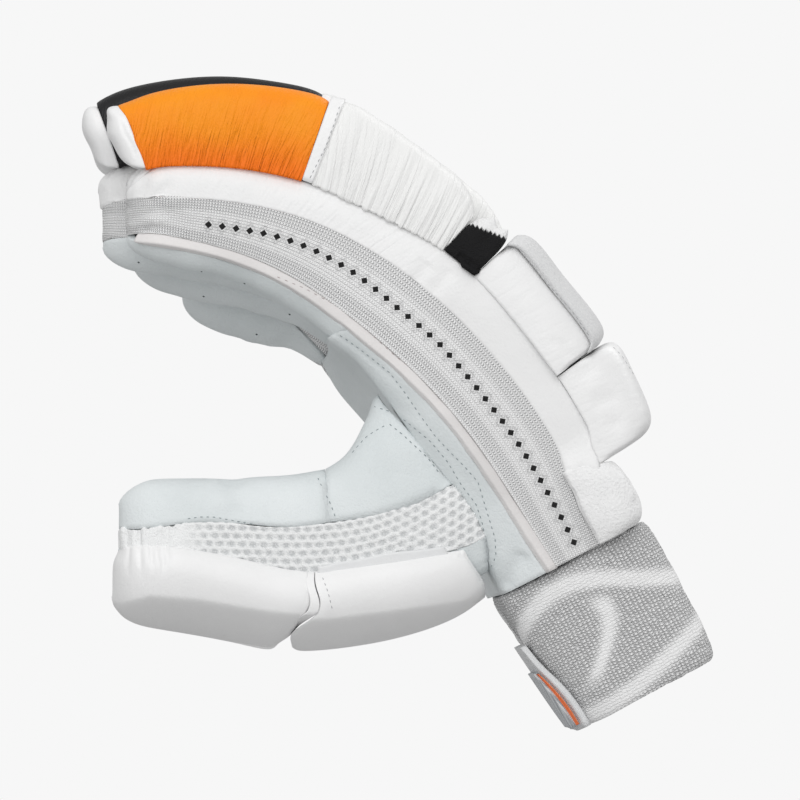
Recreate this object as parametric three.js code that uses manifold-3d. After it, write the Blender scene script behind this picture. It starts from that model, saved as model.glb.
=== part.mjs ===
// Cricket batting glove for a right hand, holding the shape of a closing grip.
// Millimetres, +Z up. X runs along the glove seen from the thumb side, Y runs across the fingers.
// The origin is the centre of the wrist opening.
import * as THREE from "three";
import Module from "manifold-3d";

const wasm = await Module();
wasm.setup();

// Named sizes
const heelStart = -2.4;
const handLength = 104;
const leather = 1.5;
const knit = 2.4;
const cuffWall = 4.5;
const seamGap = 0.36;
const layerGap = 0.55;
const spineStart = { x: -25.2, z: 45.7, heading: 117.5 };

// The hand's spine bends towards the palm: each bone is an arc with its length and turn.
const handBones = [
  { length: 75, turn: 13 },
  { length: 47, turn: 17 },
  { length: 28, turn: 22 },
  { length: 40, turn: 12 },
];
const thumbStart = { x: -59.7, z: 67.7, heading: 216 };
const thumbBones = [
  { length: 14, turn: -2 },
  { length: 30, turn: -28 },
  { length: 20, turn: -8 },
  { length: 62, turn: 2 },
];

// Fingers: centre across the hand, half width, tip distance, and heights above and below the spine.
const fingers = {
  index: { y: -37.2, half: 12.1, knuckle: 97, joint: 138, tip: 189.5, rise: 0, share: 0, pleats: 6, pad: "#ff8a1a" },
  middle: { y: -12.5, half: 12.0, knuckle: 87, joint: 140, tip: 198, rise: 1.5, share: 0.34, pleats: 6, pad: "#232326" },
  ring: { y: 12.1, half: 11.9, knuckle: 89, joint: 134, tip: 189, rise: 1.0, share: 0.68, pleats: 5, pad: "#ff8a1a" },
  little: { y: 35.8, half: 11.2, knuckle: 95, joint: 122, tip: 171, rise: 0, share: 1, pleats: 4, pad: "#232326" },
};

// Index-side profile: s is the distance from the heel, the rest are heights from the spine.
const profile = [
  { s: -4, top: 19, bottom: -26, farBottom: -28.5, near: -29, far: 29, drop: 3, knitTop: 9, knitLow: -6.5 },
  { s: 12, top: 20, bottom: -26, farBottom: -28, near: -30, far: 30.5, drop: 5, knitTop: 9.5, knitLow: -7.8 },
  { s: 26, top: 26, bottom: -25, farBottom: -25, near: -31.5, far: 32, drop: 7, knitTop: 13, knitLow: -8.2 },
  { s: 50, top: 27.2, bottom: -24, farBottom: -21.5, near: -34, far: 34, drop: 10, knitTop: 14, knitLow: -8.2 },
  { s: 75, top: 27.4, bottom: -22, farBottom: -18, near: -36.2, far: 35.4, drop: 14, knitTop: 13, knitLow: -9.4 },
  { s: 97, top: 26.4, bottom: -20, farBottom: -12.6, near: -37.2, far: 35.8, drop: 17, knitTop: 11.5, knitLow: -11 },
  { s: 112, top: 23.2, bottom: -19.6, farBottom: -9.8, near: -37.2, far: 35.8, drop: 17, knitTop: 10.5, knitLow: -11 },
  { s: 130, top: 20.8, bottom: -18.6, farBottom: -14.6, near: -37.2, far: 35.8, drop: 17, knitTop: 9.5, knitLow: -10.2 },
  { s: 150, top: 20.6, bottom: -17.2, farBottom: -17, near: -37.2, far: 35.8, drop: 17, knitTop: 8.2, knitLow: -8.6 },
  { s: 170, top: 19.4, bottom: -15.2, farBottom: -16, near: -37.2, far: 35.8, drop: 17, knitTop: 7.8, knitLow: -5.6 },
  { s: 205, top: 16, bottom: -11.5, farBottom: -12, near: -37.2, far: 35.8, drop: 17, knitTop: 5, knitLow: -4.6 },
];
const middleHeight = 1.5;
const tipLength = 13;
const tableTip = 191;
const tableEnd = 204;
const seamShare = 0.93;

// Value of a table's column at s, smooth through the rows.
function along(table, column, s) {
  const n = table.length;
  if (s <= table[0].s) return table[0][column];
  if (s >= table[n - 1].s) return table[n - 1][column];
  let i = 0;
  while (table[i + 1].s < s) i++;
  const slope = (a, b) => (table[b][column] - table[a][column]) / (table[b].s - table[a].s);
  const span = table[i + 1].s - table[i].s;
  const here = slope(i, i + 1);
  const softer = (a, b) => (a * b <= 0 ? 0 : (2 * a * b) / (a + b));
  const m0 = i > 0 ? softer(slope(i - 1, i), here) : here;
  const m1 = i < n - 2 ? softer(here, slope(i + 1, i + 2)) : here;
  const t = (s - table[i].s) / span;
  const a = table[i][column];
  const b = table[i + 1][column];
  return a * (1 + 2 * t) * (1 - t) ** 2 + b * t * t * (3 - 2 * t)
    + span * (m0 * t * (1 - t) ** 2 - m1 * t * t * (1 - t));
}

// Point of a bent spine at distance s: x, z and the heading in radians.
function spineAt(start, bones, s) {
  let x = start.x;
  let z = start.z;
  let h = THREE.MathUtils.degToRad(start.heading);
  let rest = s;
  if (s <= 0) return { x: x + s * Math.cos(h), z: z + s * Math.sin(h), h };
  for (const bone of bones) {
    const bend = THREE.MathUtils.degToRad(bone.turn) / bone.length;
    const step = Math.min(rest, bone.length);
    x += (Math.sin(h + bend * step) - Math.sin(h)) / bend;
    z += (Math.cos(h) - Math.cos(h + bend * step)) / bend;
    h += bend * step;
    rest -= step;
    if (rest <= 0) return { x, z, h };
  }
  return { x: x + rest * Math.cos(h), z: z + rest * Math.sin(h), h };
}

// The knuckles' arch: the far fingers sit nearer the palm.
function archDrop(s, y) {
  const t = Math.max(0, (y + 37.2) / 73);
  return along(profile, "drop", s) * t * t;
}

function onHand(s, v, y) {
  const p = spineAt(spineStart, handBones, s);
  const w = v - archDrop(s, y);
  return [p.x + w * Math.sin(p.h), y, p.z - w * Math.cos(p.h)];
}

// Unit point of a rounded box section at polar angle a, squarer with a bigger n.
function roundBox(a, n) {
  const c = Math.cos(a);
  const t = Math.sin(a);
  const r = (Math.abs(c) ** n + Math.abs(t) ** n) ** (1 / n);
  return [c / r, t / r];
}

// Section outline in y and v. k runs from -1 (bottom near) through 0 (near side) and 1 (top near)
// to 2 (top far), 3 (far side), 4 (bottom far) and 5 (bottom near again).
function sectionPoint(sec, k, out) {
  const up = sec.top + out - sec.mid;
  const half = sec.half + out;
  const farHalf = sec.farHalf + out;
  if (k >= 1 && k <= 2) return [THREE.MathUtils.lerp(sec.near, sec.far, k - 1), sec.top + out];
  if (k >= 4) {
    const low = THREE.MathUtils.lerp(sec.farBottom, sec.bottom, k - 4);
    return [THREE.MathUtils.lerp(sec.far, sec.near, k - 4), low - out];
  }
  const isNear = k < 1;
  const down = sec.mid - (isNear ? sec.bottom : sec.farBottom) + out;
  const a = (isNear ? k : 3 - k) * Math.PI / 2;
  const [c, t] = roundBox(a, a >= 0 ? sec.topSquare : sec.lowSquare);
  const y = isNear ? sec.near - half * c : sec.far + farHalf * c;
  return [y, sec.mid + (t >= 0 ? up : down) * t];
}

// The k on the near or far side where the outline reaches height v.
function sideAt(sec, v, far) {
  let low = -1;
  let high = 1;
  for (let i = 0; i < 30; i++) {
    const k = (low + high) / 2;
    if (sectionPoint(sec, far ? 3 - k : k, 0)[1] < v) low = k;
    else high = k;
  }
  const k = (low + high) / 2;
  return far ? 3 - k : k;
}

const spread = (a, b, count) => Array.from({ length: count }, (_, i) => a + ((b - a) * i) / (count - 1));

// Sections of the hand, s from the heel to the knuckle line.
function handSection(s) {
  const get = (column) => along(profile, column, s);
  return {
    near: get("near"), far: get("far"), half: fingers.index.half, farHalf: fingers.little.half,
    mid: middleHeight, top: get("top"), bottom: get("bottom"), farBottom: get("farBottom"),
    topSquare: 5, lowSquare: 2.4,
  };
}

// A finger's stations are its distances up to the tip's rounding, then 0 to 1 round the tip as f.
function fingerStations(name, count, tipCount, from = handLength + seamGap) {
  const bend = fingers[name].tip - tipLength;
  const straight = spread(from, bend, count).map((s) => ({ s, f: 0 }));
  const round = spread(0, 1, tipCount + 1).slice(1).map((f) => ({ s: bend, f }));
  return straight.concat(round);
}

function fingerPoint(name, station, k, out) {
  const finger = fingers[name];
  const a = station.f * Math.PI / 2;
  const s = station.s + (tipLength + out) * Math.sin(a);
  const sec = fingerSection(name, station);
  const [y, v] = sectionPoint(sec, k, out);
  const width = station.f > 0 ? ((finger.half + out) * Math.cos(a)) / (finger.half + out) : 1;
  return onHand(s, v, finger.y + (y - finger.y) * width);
}

function fingerSection(name, station) {
  const finger = fingers[name];
  const a = station.f * Math.PI / 2;
  const s = station.s + tipLength * Math.sin(a);
  const shift = tableTip - finger.tip;
  const at = Math.min(s + shift * Math.min(1, Math.max(0, (s - 110) / 50)), tableEnd);
  const nose = 0.55 + 0.45 * Math.cos(a);
  const top = along(profile, "top", at) + finger.rise * Math.min(1, Math.max(0, (s - 104) / 20));
  const low = THREE.MathUtils.lerp(along(profile, "bottom", at), along(profile, "farBottom", at), finger.share);
  const bottom = middleHeight + (low - middleHeight) * nose;
  return {
    near: finger.y, far: finger.y, half: finger.half, farHalf: finger.half, mid: middleHeight,
    top: middleHeight + (top - middleHeight) * nose,
    bottom, farBottom: bottom,
    topSquare: 5, lowSquare: 2.4,
  };
}

// Half height of the knit gusset at a station, above and below.
function gussetEdges(name, station) {
  const finger = fingers[name];
  const s = station.s + tipLength * Math.sin(station.f * Math.PI / 2) + tableTip - finger.tip;
  return { top: along(profile, "knitTop", Math.min(s, tableEnd)), low: along(profile, "knitLow", Math.min(s, tableEnd)) };
}

// A closed solid from vertices and faces, with doubled points joined.
function closed(points, faces) {
  const keys = new Map();
  const kept = [];
  const index = points.map((p) => {
    const key = p.map((c) => Math.round(c * 2000)).join(",");
    if (!keys.has(key)) {
      keys.set(key, kept.length);
      kept.push(p);
    }
    return keys.get(key);
  });
  const out = [];
  for (const [a, b, c] of faces) {
    const [i, j, k] = [index[a], index[b], index[c]];
    if (i !== j && j !== k && k !== i) out.push(i, j, k);
  }
  let volume = 0;
  for (let f = 0; f < out.length; f += 3) {
    const [a, b, c] = [kept[out[f]], kept[out[f + 1]], kept[out[f + 2]]];
    volume += a[0] * (b[1] * c[2] - b[2] * c[1]) - a[1] * (b[0] * c[2] - b[2] * c[0])
      + a[2] * (b[0] * c[1] - b[1] * c[0]);
  }
  if (volume < 0) for (let f = 0; f < out.length; f += 3) [out[f], out[f + 1]] = [out[f + 1], out[f]];
  const used = new Map();
  const vertices = [];
  const faceList = out.map((i) => {
    if (!used.has(i)) {
      used.set(i, used.size);
      vertices.push(...kept[i]);
    }
    return used.get(i);
  });
  const geometry = new THREE.BufferGeometry();
  geometry.setAttribute("position", new THREE.Float32BufferAttribute(vertices, 3));
  geometry.setIndex(faceList);
  return geometry;
}

// A wall: rows of outer points and inner points. fold marks a last row that folds onto itself,
// loop joins the ends of every row.
function wall(outer, inner, { fold = false, loop = false } = {}) {
  const rows = outer.length;
  const cols = outer[0].length;
  const points = [...outer.flat(), ...inner.flat()];
  const o = (r, c) => r * cols + (c % cols);
  const i = (r, c) => rows * cols + r * cols + (c % cols);
  const faces = [];
  const quad = (a, b, c, d) => faces.push([a, b, c], [a, c, d]);
  const lastCol = loop ? cols : cols - 1;
  for (let r = 0; r < rows - 1; r++) {
    for (let c = 0; c < lastCol; c++) {
      quad(o(r, c), o(r, c + 1), o(r + 1, c + 1), o(r + 1, c));
      quad(i(r, c), i(r + 1, c), i(r + 1, c + 1), i(r, c + 1));
    }
    if (!loop) {
      quad(o(r, 0), o(r + 1, 0), i(r + 1, 0), i(r, 0));
      quad(o(r, cols - 1), i(r, cols - 1), i(r + 1, cols - 1), o(r + 1, cols - 1));
    }
  }
  for (let c = 0; c < lastCol; c++) {
    quad(o(0, c), i(0, c), i(0, c + 1), o(0, c + 1));
    if (!fold) quad(o(rows - 1, c), o(rows - 1, c + 1), i(rows - 1, c + 1), i(rows - 1, c));
  }
  return closed(points, faces);
}

// A solid through rings of the same count, closed by a fan at each end.
function loft(rings) {
  const cols = rings[0].length;
  const points = rings.flat();
  const centre = (ring) => ring.reduce((sum, p) => sum.map((v, i) => v + p[i] / cols), [0, 0, 0]);
  const first = points.push(centre(rings[0])) - 1;
  const last = points.push(centre(rings[rings.length - 1])) - 1;
  const faces = [];
  for (let r = 0; r < rings.length - 1; r++) {
    for (let c = 0; c < cols; c++) {
      const a = r * cols + c;
      const b = r * cols + ((c + 1) % cols);
      faces.push([a, b, b + cols], [a, b + cols, a + cols]);
    }
  }
  const end = (rings.length - 1) * cols;
  for (let c = 0; c < cols; c++) {
    faces.push([first, (c + 1) % cols, c], [last, end + c, end + ((c + 1) % cols)]);
  }
  return closed(points, faces);
}

// Palm side of a section between two heights on its sides, as k values in order.
function lowerArc(sec, vNear, vFar, side, bottom) {
  const near = spread(sideAt(sec, vNear, false), -1, side);
  const far = spread(4, sideAt(sec, vFar, true), side);
  const flat = bottom > 0 ? spread(5, 4, bottom + 2).slice(1, -1) : [];
  return near.concat(flat, bottom < 0 ? far.slice(1) : far);
}

function upperArc(sec, vNear, vFar, side, top) {
  const near = spread(sideAt(sec, vNear, false), 1, side);
  const far = spread(2, sideAt(sec, vFar, true), side);
  const flat = top > 0 ? spread(1, 2, top + 2).slice(1, -1) : [];
  return near.concat(flat, top < 0 ? far.slice(1) : far);
}

const pieces = [];
function add(name, geometry, color, roughness = 0.7) {
  const material = new THREE.MeshStandardMaterial({ color, roughness, metalness: 0 });
  const mesh = new THREE.Mesh(geometry, material);
  mesh.name = name;
  pieces.push(mesh);
  return mesh;
}

const white = "#efefee";
const palmBlue = "#c9d4d8";
const knitGrey = "#c3c6c9";
const black = "#1b1b1d";
const gap = seamGap / 2;
const pipingWidth = 3.6;

// Lower seam of the near side: under the index side it lies below the piping.
function palmEdge(name, station, edge) {
  const fade = Math.cos((station.f * Math.PI) / 2);
  return edge.low - gap - (name === "index" ? pipingWidth * fade : 0);
}

// Upper seam of the near side: on the index side it lies above the white side strip.
function backEdge(name, station, edge, sec) {
  const fade = Math.cos((station.f * Math.PI) / 2);
  const corner = sec.mid + (sec.top - sec.mid) * seamShare;
  return edge.top + gap + (name === "index" ? (corner - edge.top) * fade : 0);
}

// Finger leathers on the palm side and on the back
for (const name of Object.keys(fingers)) {
  const stations = fingerStations(name, 5, 4);
  const palmRows = (out) => stations.map((p) => {
    const sec = fingerSection(name, p);
    const edge = gussetEdges(name, p);
    const ks = lowerArc(sec, palmEdge(name, p, edge), edge.low - gap, 4, -1);
    return ks.map((k) => fingerPoint(name, p, k, out));
  });
  add(`palm_${name}`, wall(palmRows(0), palmRows(-leather), { fold: true }), palmBlue);
  const backRows = (out) => stations.map((p) => {
    const sec = fingerSection(name, p);
    const edge = gussetEdges(name, p);
    const ks = upperArc(sec, backEdge(name, p, edge, sec), edge.top + gap, 3, -1);
    return ks.map((k) => fingerPoint(name, p, k, out));
  });
  add(`back_${name}`, wall(backRows(0), backRows(-leather), { fold: true }), white);
}

// Knit gussets: up one side of a finger, round its tip and down the other side.
// The index and little ones go on along the hand to the cuff.
const handStations = [heelStart, 8, 16.6, 17.4, 28, 42, 56, 70, 84, 94, handLength - 0.01];
function gussetRows(name, out) {
  const rows = [];
  const handRow = (s, far) => {
    const sec = handSection(s);
    const low = sideAt(sec, along(profile, "knitLow", s) + gap, far);
    const top = sideAt(sec, along(profile, "knitTop", s) - gap, far);
    return spread(low, top, 4).map((k) => {
      const [y, v] = sectionPoint(sec, k, out);
      return onHand(s, v, y);
    });
  };
  const fingerRow = (p, far) => {
    const sec = fingerSection(name, p);
    const edge = gussetEdges(name, p);
    const count = name === "index" || name === "little" ? 4 : 3;
    const ks = spread(sideAt(sec, edge.low + gap, far), sideAt(sec, edge.top - gap, far), count);
    return ks.map((k) => fingerPoint(name, p, k, out));
  };
  const stations = fingerStations(name, 5, 4);
  if (name === "index") for (const s of handStations) rows.push(handRow(s, false));
  for (const p of stations) rows.push(fingerRow(p, false));
  for (const p of stations.slice(0, -1).reverse()) rows.push(fingerRow(p, true));
  if (name === "little") for (const s of [...handStations].reverse()) rows.push(handRow(s, true));
  return rows;
}
const gussetNames = { index: "knit_side_band", middle: "gusset_middle", ring: "gusset_ring", little: "knit_outer_band" };
for (const [name, label] of Object.entries(gussetNames)) {
  add(label, wall(gussetRows(name, 0), gussetRows(name, -knit)), knitGrey, 0.9);
}

// White leather side strip and the piping, from the wrist along the index side to its tip
const stripStart = 17.9;
function stripRows(out) {
  const rows = [];
  for (const s of [stripStart, ...handStations.slice(4)]) {
    const sec = handSection(s);
    const low = sideAt(sec, along(profile, "knitTop", s) + gap, false);
    const top = sideAt(sec, sec.mid + (sec.top - sec.mid) * seamShare - seamGap * 1.8, false);
    rows.push(spread(low, top, 4).map((k) => {
      const [y, v] = sectionPoint(sec, k, out);
      return onHand(s, v, y);
    }));
  }
  for (const p of fingerStations("index", 5, 4).filter((q) => q.f < 0.8)) {
    const sec = fingerSection("index", p);
    const edge = gussetEdges("index", p);
    const top = backEdge("index", p, edge, sec) - seamGap * 1.8;
    rows.push(spread(sideAt(sec, edge.top + gap, false), sideAt(sec, top, false), 4)
      .map((k) => fingerPoint("index", p, k, out)));
  }
  return rows;
}
add("side_strip", wall(stripRows(0), stripRows(-leather)), white, 0.5);

function pipingRows(bulge, inner) {
  const rows = [];
  const bead = (sec, low, top, at) => spread(sideAt(sec, low, false), sideAt(sec, top, false), 3)
    .map((k, i) => at(k, inner ? -1.2 : bulge[i]));
  for (const s of handStations) {
    const sec = handSection(s);
    const top = along(profile, "knitLow", s) - gap;
    rows.push(bead(sec, top - pipingWidth + seamGap, top, (k, out) => {
      const [y, v] = sectionPoint(sec, k, out);
      return onHand(s, v, y);
    }));
  }
  for (const p of fingerStations("index", 5, 4).filter((q) => q.f < 0.6)) {
    const sec = fingerSection("index", p);
    const edge = gussetEdges("index", p);
    const low = palmEdge("index", p, edge) + seamGap;
    rows.push(bead(sec, low, edge.low - gap, (k, out) => fingerPoint("index", p, k, out)));
  }
  return rows;
}
add("palm_edge_piping", wall(pipingRows([0.2, 1.5, 0.2], false), pipingRows([], true)), "#dcd6d6", 0.6);

// Hand leathers
const onSection = (sec, s, k, out) => {
  const [y, v] = sectionPoint(sec, k, out);
  return onHand(s, v, y);
};
const handBackRows = (out) => handStations.map((s) => {
  const sec = handSection(s);
  const corner = sec.mid + (sec.top - sec.mid) * seamShare;
  const knitTop = along(profile, "knitTop", s) + gap;
  const ks = upperArc(sec, s < 17 ? knitTop : corner, knitTop, 4, 5);
  return ks.map((k) => onSection(sec, s, k, out));
});
add("hand_back", wall(handBackRows(0), handBackRows(-leather)), white);

const handPalmRows = (out) => handStations.map((s) => {
  const sec = handSection(s);
  const low = along(profile, "knitLow", s) - gap;
  return lowerArc(sec, low - pipingWidth, low, 4, 5).map((k) => onSection(sec, s, k, out));
});
let handPalm = wall(handPalmRows(0), handPalmRows(-leather));

// Solids for cuts
function toManifold(geometry) {
  const mesh = new wasm.Mesh({
    numProp: 3,
    vertProperties: new Float32Array(geometry.getAttribute("position").array),
    triVerts: new Uint32Array(geometry.getIndex().array),
  });
  mesh.merge();
  return new wasm.Manifold(mesh);
}
function fromManifold(solid) {
  const mesh = solid.getMesh();
  const geometry = new THREE.BufferGeometry();
  geometry.setAttribute("position", new THREE.Float32BufferAttribute(Array.from(mesh.vertProperties), 3));
  geometry.setIndex(Array.from(mesh.triVerts));
  return geometry;
}
// The biggest of the separate bodies that a cut leaves.
function biggest(solid) {
  return solid.decompose().sort((a, b) => b.volume() - a.volume())[0];
}
const fullLoop = [...spread(-1, 1, 9), ...spread(1, 2, 6).slice(1), ...spread(2, 4, 9).slice(1), ...spread(4, 5, 6).slice(1, -1)];
const handSolid = (out) => loft([heelStart - 3, ...handStations, handLength + 8].map((s) => {
  const sec = handSection(s);
  return fullLoop.map((k) => onSection(sec, s, k, out));
}));

// Thumb
const thumb = [
  { s: 0, top: 38, low: -28, half: 12.5, y: -26, meshTop: 1.0, meshLow: -19 },
  { s: 14, top: 35.5, low: -28, half: 14.5, y: -28.5, meshTop: 2.5, meshLow: -17 },
  { s: 28, top: 29.5, low: -26, half: 15.3, y: -31.5, meshTop: 4.5, meshLow: -12 },
  { s: 44, top: 23.4, low: -23.6, half: 14.6, y: -34.5, meshTop: 5.9, meshLow: -10.5 },
  { s: 64, top: 20.5, low: -21.6, half: 14.0, y: -37.5, meshTop: 3.9, meshLow: -10.5 },
  { s: 86, top: 19.4, low: -20.2, half: 13.7, y: -40, meshTop: 6.3, meshLow: -7.5 },
  { s: 102, top: 19.4, low: -18.6, half: 13.4, y: -42, meshTop: 3.6, meshLow: -4.6 },
  { s: 115, top: 17.0, low: -16.0, half: 13.0, y: -43, meshTop: 2.6, meshLow: -3.4 },
];
const thumbTip = 115;
const thumbBend = 101.5;
function thumbSection(station) {
  const a = (station.f * Math.PI) / 2;
  const s = station.s + (thumbTip - thumbBend) * Math.sin(a);
  const nose = 0.62 + 0.38 * Math.cos(a);
  const get = (column) => along(thumb, column, s);
  return {
    near: 0, far: 0, half: get("half"), farHalf: get("half"), mid: 0,
    top: get("top") * nose, bottom: get("low") * nose, farBottom: get("low") * nose,
    topSquare: 2.5, lowSquare: 2.6,
  };
}
function thumbPoint(station, k, out, most = 99) {
  const a = (station.f * Math.PI) / 2;
  const s = station.s + (station.lean ?? 0) + (thumbTip - thumbBend + Math.min(out, most)) * Math.sin(a);
  const [y, v] = sectionPoint(thumbSection(station), k, out);
  const p = spineAt(thumbStart, thumbBones, s);
  const across = along(thumb, "y", s) + y * (station.f > 0 ? Math.cos(a) : 1);
  return [p.x + v * Math.sin(p.h), across, p.z - v * Math.cos(p.h)];
}
const thumbStations = (from, count) => spread(from, thumbBend, count).map((s) => ({ s, f: 0 }))
  .concat(spread(0, 1, 6).slice(1).map((f) => ({ s: thumbBend, f })));
const thumbEdge = (station, column) => along(thumb, column, station.s + 13.5 * Math.sin((station.f * Math.PI) / 2))
  + (column === "meshTop" ? 0.1 : -0.1);
const thumbSeam = 47;

const envelope = toManifold(handSolid(0.6));
const cutRoot = (geometry) => fromManifold(biggest(toManifold(geometry).subtract(envelope)));

const upperThumb = (stations, out) => stations.map((p) => {
  const sec = thumbSection(p);
  const v = thumbEdge(p, "meshTop") + gap;
  return upperArc(sec, v, v, 5, -1).map((k) => thumbPoint(p, k, out));
});
const rootStations = spread(0, thumbSeam - gap, 6).map((s) => ({ s, f: 0 }));
const tipStations = thumbStations(thumbSeam + gap, 5);
add("thumb_root", cutRoot(wall(upperThumb(rootStations, 0), upperThumb(rootStations, -leather))), palmBlue);
add("thumb_palm", wall(upperThumb(tipStations, 0), upperThumb(tipStations, -leather), { fold: true }), palmBlue);

const lowerThumb = (stations, out) => stations.map((p) => {
  const sec = thumbSection(p);
  const v = thumbEdge(p, "meshLow") - gap;
  return lowerArc(sec, v, v, 5, -1).map((k) => thumbPoint(p, k, out));
});
const allThumb = thumbStations(0, 8);
add("thumb_back", cutRoot(wall(lowerThumb(allThumb, 0), lowerThumb(allThumb, -leather), { fold: true })), palmBlue);

const thumbGusset = (out) => {
  const row = (p, far) => {
    const sec = thumbSection(p);
    const low = sideAt(sec, thumbEdge(p, "meshLow") + gap, far);
    const top = sideAt(sec, thumbEdge(p, "meshTop") - gap - 0.2, far);
    return spread(low, top, 4).map((k) => thumbPoint(p, k, out));
  };
  return allThumb.map((p) => row(p, false)).concat(allThumb.slice(0, -1).reverse().map((p) => row(p, true)));
};
add("thumb_mesh", cutRoot(wall(thumbGusset(0), thumbGusset(-knit))), "#e2e4e4", 0.9);

// The palm opens into the thumb.
const thumbHollow = loft(spread(0, 34, 6).map((s) => {
  const p = { s, f: 0 };
  return spread(-1, 3, 17).slice(0, -1).map((k) => thumbPoint(p, k < 1 ? k : k + 1, -leather - 0.6));
}));
handPalm = fromManifold(biggest(toManifold(handPalm).subtract(toManifold(thumbHollow))));
add("palm_hand", handPalm, palmBlue);

// Pads on the thumb: a crescent under the stall. lean slants a row towards the tip as it goes down.
const thumbPads = {
  thumb_tip_pad: {
    rows: [
      { s: 55.7, edge: -9.6, low: -34.8, puff: 0.86, lean: 0.27 }, { s: 57.2, edge: -9.4, low: -35.4, puff: 0.97, lean: 0.26 },
      { s: 64, edge: -8.4, low: -35.4, puff: 1, lean: 0.14 }, { s: 76, edge: -5.6, low: -33.6, puff: 1, lean: 0 },
      { s: 90, edge: -3.4, low: -31.4, puff: 1, lean: 0 }, { s: 101.5, edge: -2.2, low: -29.8, puff: 1, lean: 0 },
    ],
    round: [
      { f: 0.25, low: -28.8 }, { f: 0.5, low: -26.8 }, { f: 0.75, low: -23.2 }, { f: 1, low: -19.2 },
    ],
  },
  thumb_base_pad: {
    rows: [
      { s: 12.6, edge: -17.4, low: -32.4, puff: 0.6, lean: 0 }, { s: 14.6, edge: -16.4, low: -35.0, puff: 0.93, lean: 0 },
      { s: 22, edge: -12.8, low: -36.4, puff: 1, lean: 0.02 }, { s: 35, edge: -9.6, low: -35.8, puff: 1, lean: 0.1 },
      { s: 50.4, edge: -9.6, low: -36.2, puff: 1, lean: 0.25 }, { s: 52.3, edge: -9.6, low: -35.8, puff: 0.93, lean: 0.26 },
    ],
    round: [],
  },
};
const padSide = 3.4;
const padAmounts = [0.25, 0.72, 0.96, 1, 1, 1, 1, 1, 1, 1, 0.96, 0.72, 0.25];
function padRow(p, row, puff, lift) {
  const sec = thumbSection(p);
  const start = sideAt(sec, row.edge, false);
  const near = [start, start - 0.04, start - 0.12, ...spread(start - 0.22, -1, 4)];
  const ks = near.concat([...near].reverse().slice(1).map((k) => 3 - k));
  const under = sec.bottom - row.low;
  const point = (k, out) => {
    const [, v] = sectionPoint(sec, k, out);
    return thumbPoint({ ...p, lean: row.lean * Math.max(0, -9 - v) }, k, out, 2.0);
  };
  const outer = ks.map((k, i) => {
    const down = Math.max(0, -Math.sin((Math.min(k, 3 - k) * Math.PI) / 2));
    const out = THREE.MathUtils.lerp(padSide, under, down ** 1.6);
    return point(k, layerGap + 0.4 + (out + lift - layerGap - 0.4) * padAmounts[i] * puff);
  });
  return { outer, inner: ks.map((k) => point(k, layerGap)) };
}
for (const [name, pad] of Object.entries(thumbPads)) {
  const rows = pad.rows.map((row) => padRow({ s: row.s, f: 0 }, row, row.puff, 0));
  const last = pad.rows[pad.rows.length - 1];
  for (const { f, low } of pad.round) rows.push(padRow({ s: thumbBend, f }, { ...last, low }, 1, 0));
  const solid = wall(rows.map((r) => r.outer), rows.map((r) => r.inner), { fold: pad.round.length > 0 });
  add(name, solid, white, 0.5);
}
const pipingAt = [52.8, 55.2].map((s) => padRow({ s, f: 0 }, { edge: -9.8, low: -35.9, lean: 0.26 }, 1, 0));
add("thumb_pad_piping", wall(pipingAt.map((r) => r.outer), pipingAt.map((r) => r.inner)), white, 0.5);

// Binding strip along the top of the thumb's base pad
const bindingRows = (out) => spread(16, 52.5, 6).map((s) => {
  const p = { s, f: 0 };
  const sec = thumbSection(p);
  const edge = along([{ s: 12.6, v: -17.4 }, { s: 22, v: -12.8 }, { s: 35, v: -9.6 }, { s: 53, v: -9.6 }], "v", s) + 0.5;
  return spread(sideAt(sec, edge, false), sideAt(sec, edge + 3, false), 2).map((k) => thumbPoint(p, k, out));
});
add("thumb_binding", wall(bindingRows(1.3), bindingRows(0.4)), "#dfe3e4", 0.7);

// Finger pads. heights are those of the index; the other fingers stretch them to their own lengths.
const padTop = [
  { s: 86, v: 44.0 }, { s: 97, v: 44.6 }, { s: 104, v: 45.6 }, { s: 124, v: 46.8 }, { s: 135, v: 48.6 },
  { s: 140, v: 47.6 }, { s: 150, v: 46.8 }, { s: 163, v: 45.7 }, { s: 180, v: 41.7 }, { s: 191, v: 37.5 },
];
const lipGap = 0.3;
const shoulderOut = 0.8;
const shoulderIn = 0.55;
const arcAngles = [0, 22, 44, 62, 90, 118, 136, 158, 180].map(THREE.MathUtils.degToRad);
function indexDistance(name, s) {
  const finger = fingers[name];
  if (s <= finger.joint) return THREE.MathUtils.mapLinear(s, finger.knuckle, finger.joint, 97, 138);
  return THREE.MathUtils.mapLinear(s, finger.joint, finger.tip, 138, tableTip);
}
function padBase(name, s) {
  const finger = fingers[name];
  const hand = along(profile, "top", s);
  const bend = finger.tip - tipLength;
  const f = s > bend ? (Math.asin(Math.min(1, (s - bend) / tipLength)) * 2) / Math.PI : 0;
  const own = fingerSection(name, { s: Math.min(s, bend), f }).top;
  if (s > 112) return own + layerGap;
  return Math.max(hand, s > 100 ? own : hand) + layerGap;
}
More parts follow.
